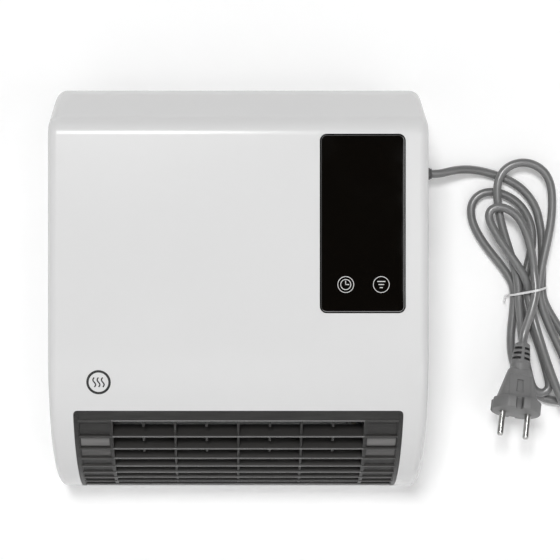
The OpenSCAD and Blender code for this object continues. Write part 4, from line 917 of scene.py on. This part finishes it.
# ---- the cross-flow fan, its axle and its bearing ----
# A grey plastic wheel of thin curved blades between discs, on a ground steel axle. The
# far end turns in a sintered bronze bush held in rubber.
shown("fan_wheel", plastic("wheel_grey", 92, 0.45, 0.00005, 0, 1, 700))
ground = metal("ground_steel", 198, 0.16, 0, 1, (0.05, 1, 1), 900)
for node in ("motor_shaft", "wheel_stub"):
    shown(node, ground)
shown("bearing_bush", metal("sintered_bronze", 158, 0.36, 34, 4, (1, 1, 1), 1400, 900))
shown("bearing_rubber", charcoal("rubber_black", 34, 0.62, 0.00005))

# ---- the shaded-pole motor ----
# A stack of silicon steel sheets, a varnished copper coil on one leg, and a cast rotor
# between two bearing bridges.
stack = Finish("stack_sheets")
edges = stack.node("ShaderNodeTexWave", {"wave_type": "BANDS", "bands_direction": "X"}, {
    "Vector": stack.place, "Scale": 640.0, "Distortion": 0.4, "Detail": 2.0})
shown("motor_stack", stack.surface(
    Base_Color=stack.blend(edges, grey(92, 2, 2), grey(146, 0, 1)), Metallic=0.9,
    Roughness=edges * 0.12 + 0.38, Normal=stack.bump(edges, 0.00008)))
wound = Finish("coil_winding")
turns = wound.node("ShaderNodeTexWave", {"wave_type": "BANDS", "bands_direction": "X"}, {
    "Vector": wound.place, "Scale": 520.0, "Distortion": 1.2, "Detail": 2.0})
shown("motor_coil", wound.surface(
    Base_Color=wound.blend(turns, (0.12, 0.028, 0.01, 1), (0.5, 0.17, 0.06, 1)), Metallic=0.7,
    Roughness=turns * 0.1 + 0.25, Normal=wound.bump(turns, 0.00012)))
shown("motor_rotor", metal("rotor_cast", 150, 0.34, 0, 1, (0.1, 1, 1), 500, 300))
bolts = metal("zinc_screw", 172, 0.26, 6, 3, (1, 1, 1), 800)
for node in ("motor_bolts", "inner_screws"):
    shown(node, bolts)

# ---- the heating block ----
# Ceramic heating plates in flat aluminium tubes, with three rows of folded fins, held
# by two heat-proof blocks. Brass tabs come out through the right one.
shown("heater_core", metal("fin_aluminium", 190, 0.3, 0, 1, (1, 0.2, 1), 420))
shown("heater_holders", plastic("holder_resin", 66, 0.55, 0.0001, 8, 1, 600))
shown("heater_terminals", metal("tab_brass", 186, 0.24, 38, 12, (0.1, 1, 1), 700))
shown("thermal_cutout", plastic("cutout_ceramic", 222, 0.5, 0.00004, 6, 3, 1200))
shown("thermal_fuse", metal("fuse_case", 190, 0.22, 14, 6, (0.2, 1, 1), 700))

# ---- the boards and what sits on them ----
# Green glass-fibre boards with a faint net of copper tracks under the lacquer.
circuit = Finish("board_lacquer")
dark_green, track_green = (0.008, 0.062, 0.022, 1), (0.022, 0.15, 0.05, 1)
tracks = circuit.node("ShaderNodeTexBrick", {"offset": 0.5, "squash": 1.0}, {
    "Vector": circuit.place, "Scale": 160.0, "Mortar Size": 0.03, "Color1": (0, 0, 0, 1),
    "Color2": (0.25, 0.25, 0.25, 1), "Mortar": (1, 1, 1, 1)}, out="Color")
board_finish = circuit.surface(
    Base_Color=circuit.blend(circuit.share(tracks, 0.1, 0.9), dark_green, track_green),
    Roughness=circuit.noise(300, 3) * 0.15 + 0.24, Normal=circuit.bump(tracks, 0.00003))
for node in ("control_board", "display_board"):
    shown(node, board_finish)
shown("display_module", plastic("display_case", 205, 0.35, 0.00003))
shown("touch_springs", metal("spring_steel", 186, 0.2, 0, 1, (1, 1, 0.2), 600))
shown("board_relays", plastic("relay_case", 96, 0.3, 0.00003, -66, -12))
shown("board_capacitor", plastic("capacitor_case", 150, 0.32, 0.00004, 62, 12))
shown("terminal_block", plastic("terminal_case", 98, 0.4, 0.00005, -40, 44))

# ---- the wires inside ----
# Silicone sleeves on the heating block's wires, thin PVC on the others, and a flat
# ribbon up to the touch panel.
for node, level, warm, green in (("heater_wires", 226, 3, 1), ("motor_wires", 132, -56, 6),
                                 ("supply_wires", 92, 34, -6), ("ribbon_cable", 168, -8, 0)):
    shown(node, plastic(node + "_sleeve", level, 0.4, 0.00004, warm, green, 1200))

# ---- the case screws ----
# Four zinc-plated pan heads with a cross recess, deep in wells in the back. They hold
# the front shell.
maker = Maker("screw_maker")
head_r, head_h = maker.size("Head radius", 0.0037), maker.size("Head height", 0.0025)


def rod(sides, radius, long):
    return maker.node("GeometryNodeMeshCylinder", {"fill_type": "NGON"}, {
        "Vertices": sides, "Radius": radius, "Depth": long})


def raised(shape, height):
    return maker.node("GeometryNodeTransform", {}, {"Geometry": shape, "Translation": (0, 0, height)})


cut = rod(40, head_r, head_h)
for size in ((0.0048, 0.0009, 0.0032), (0.0009, 0.0048, 0.0032)):
    arm = raised(maker.node("GeometryNodeMeshCube", {}, {"Size": maker.vector(*size)}), 0.0016)
    cut = maker.node("GeometryNodeMeshBoolean", {"operation": "DIFFERENCE", "solver": "EXACT"}, {
        "Mesh 1": cut, "Mesh 2": arm})
shank = raised(rod(20, 0.00155, 0.0195), -0.0105)
whole = maker.node("GeometryNodeJoinGeometry", {}, {0: cut})
maker.links.new(shank.socket, whole.socket.node.inputs[0])
spots = [{"place": at(s * x, 28.7, z), "tilt": -pi / 2} for s in (-1, 1) for x, z, _ in case_screws]
screws = maker.grown("case_screw_heads", spots, whole, maker.vector(maker.own("tilt")), (1, 1, 1), bolts)
finished(screws, bolts, replaces=("case_screws",), slot="screw_steel", smooth=30)

# ---- the power switch in the right side wall ----
# A black nylon rocker in a snap-in frame, with a white bar and ring printed on its halves.
shown("power_switch", charcoal("switch_nylon", 30, 0.42, 0.00005))
rocker_finish = charcoal("rocker_nylon", 24, 0.3, 0.00003)
shown("switch_rocker", rocker_finish)


pin_x, pin_depth, pin_z, rocker_lean = 130.8, 15, 44, radians(9)


def on_rocker(side, high):
    """A point over a half of the rocker: millimetres to the side of its middle, and up its slope."""
    top = 4 + 1.2 * abs(high) / 7.2 + 0.03
    return at(pin_x + top * cos(rocker_lean) + high * sin(rocker_lean), pin_depth - side,
              pin_z - top * sin(rocker_lean) + high * cos(rocker_lean))


def mark(line, wide):
    rows = []
    for i, (y, z) in enumerate(line):
        way = half_way(line, i, wide)
        top = [on_rocker(y - way.y, z + way.x), on_rocker(y + way.y, z - way.x)]
        rows.append(top + [p - Vector((0.0002, 0, 0)) for p in top[::-1]])
    return loft(rows)


round_mark = [(1.5 * cos(a), -4 + 1.5 * sin(a)) for a in (2 * pi * k / 32 for k in range(33))]
mark_paint = Finish("rocker_marks_white")
marks = join(mark([(0, 2.4), (0, 4), (0, 5.6)], 0.5), mark(round_mark, 0.45))
solid("rocker_marks", marks, mark_paint.surface(
    Base_Color=mark_paint.blend(mark_paint.noise(600, 3), grey(205), grey(225)), Roughness=0.5),
    body="rocker", slot="rocker_black", smooth=0)
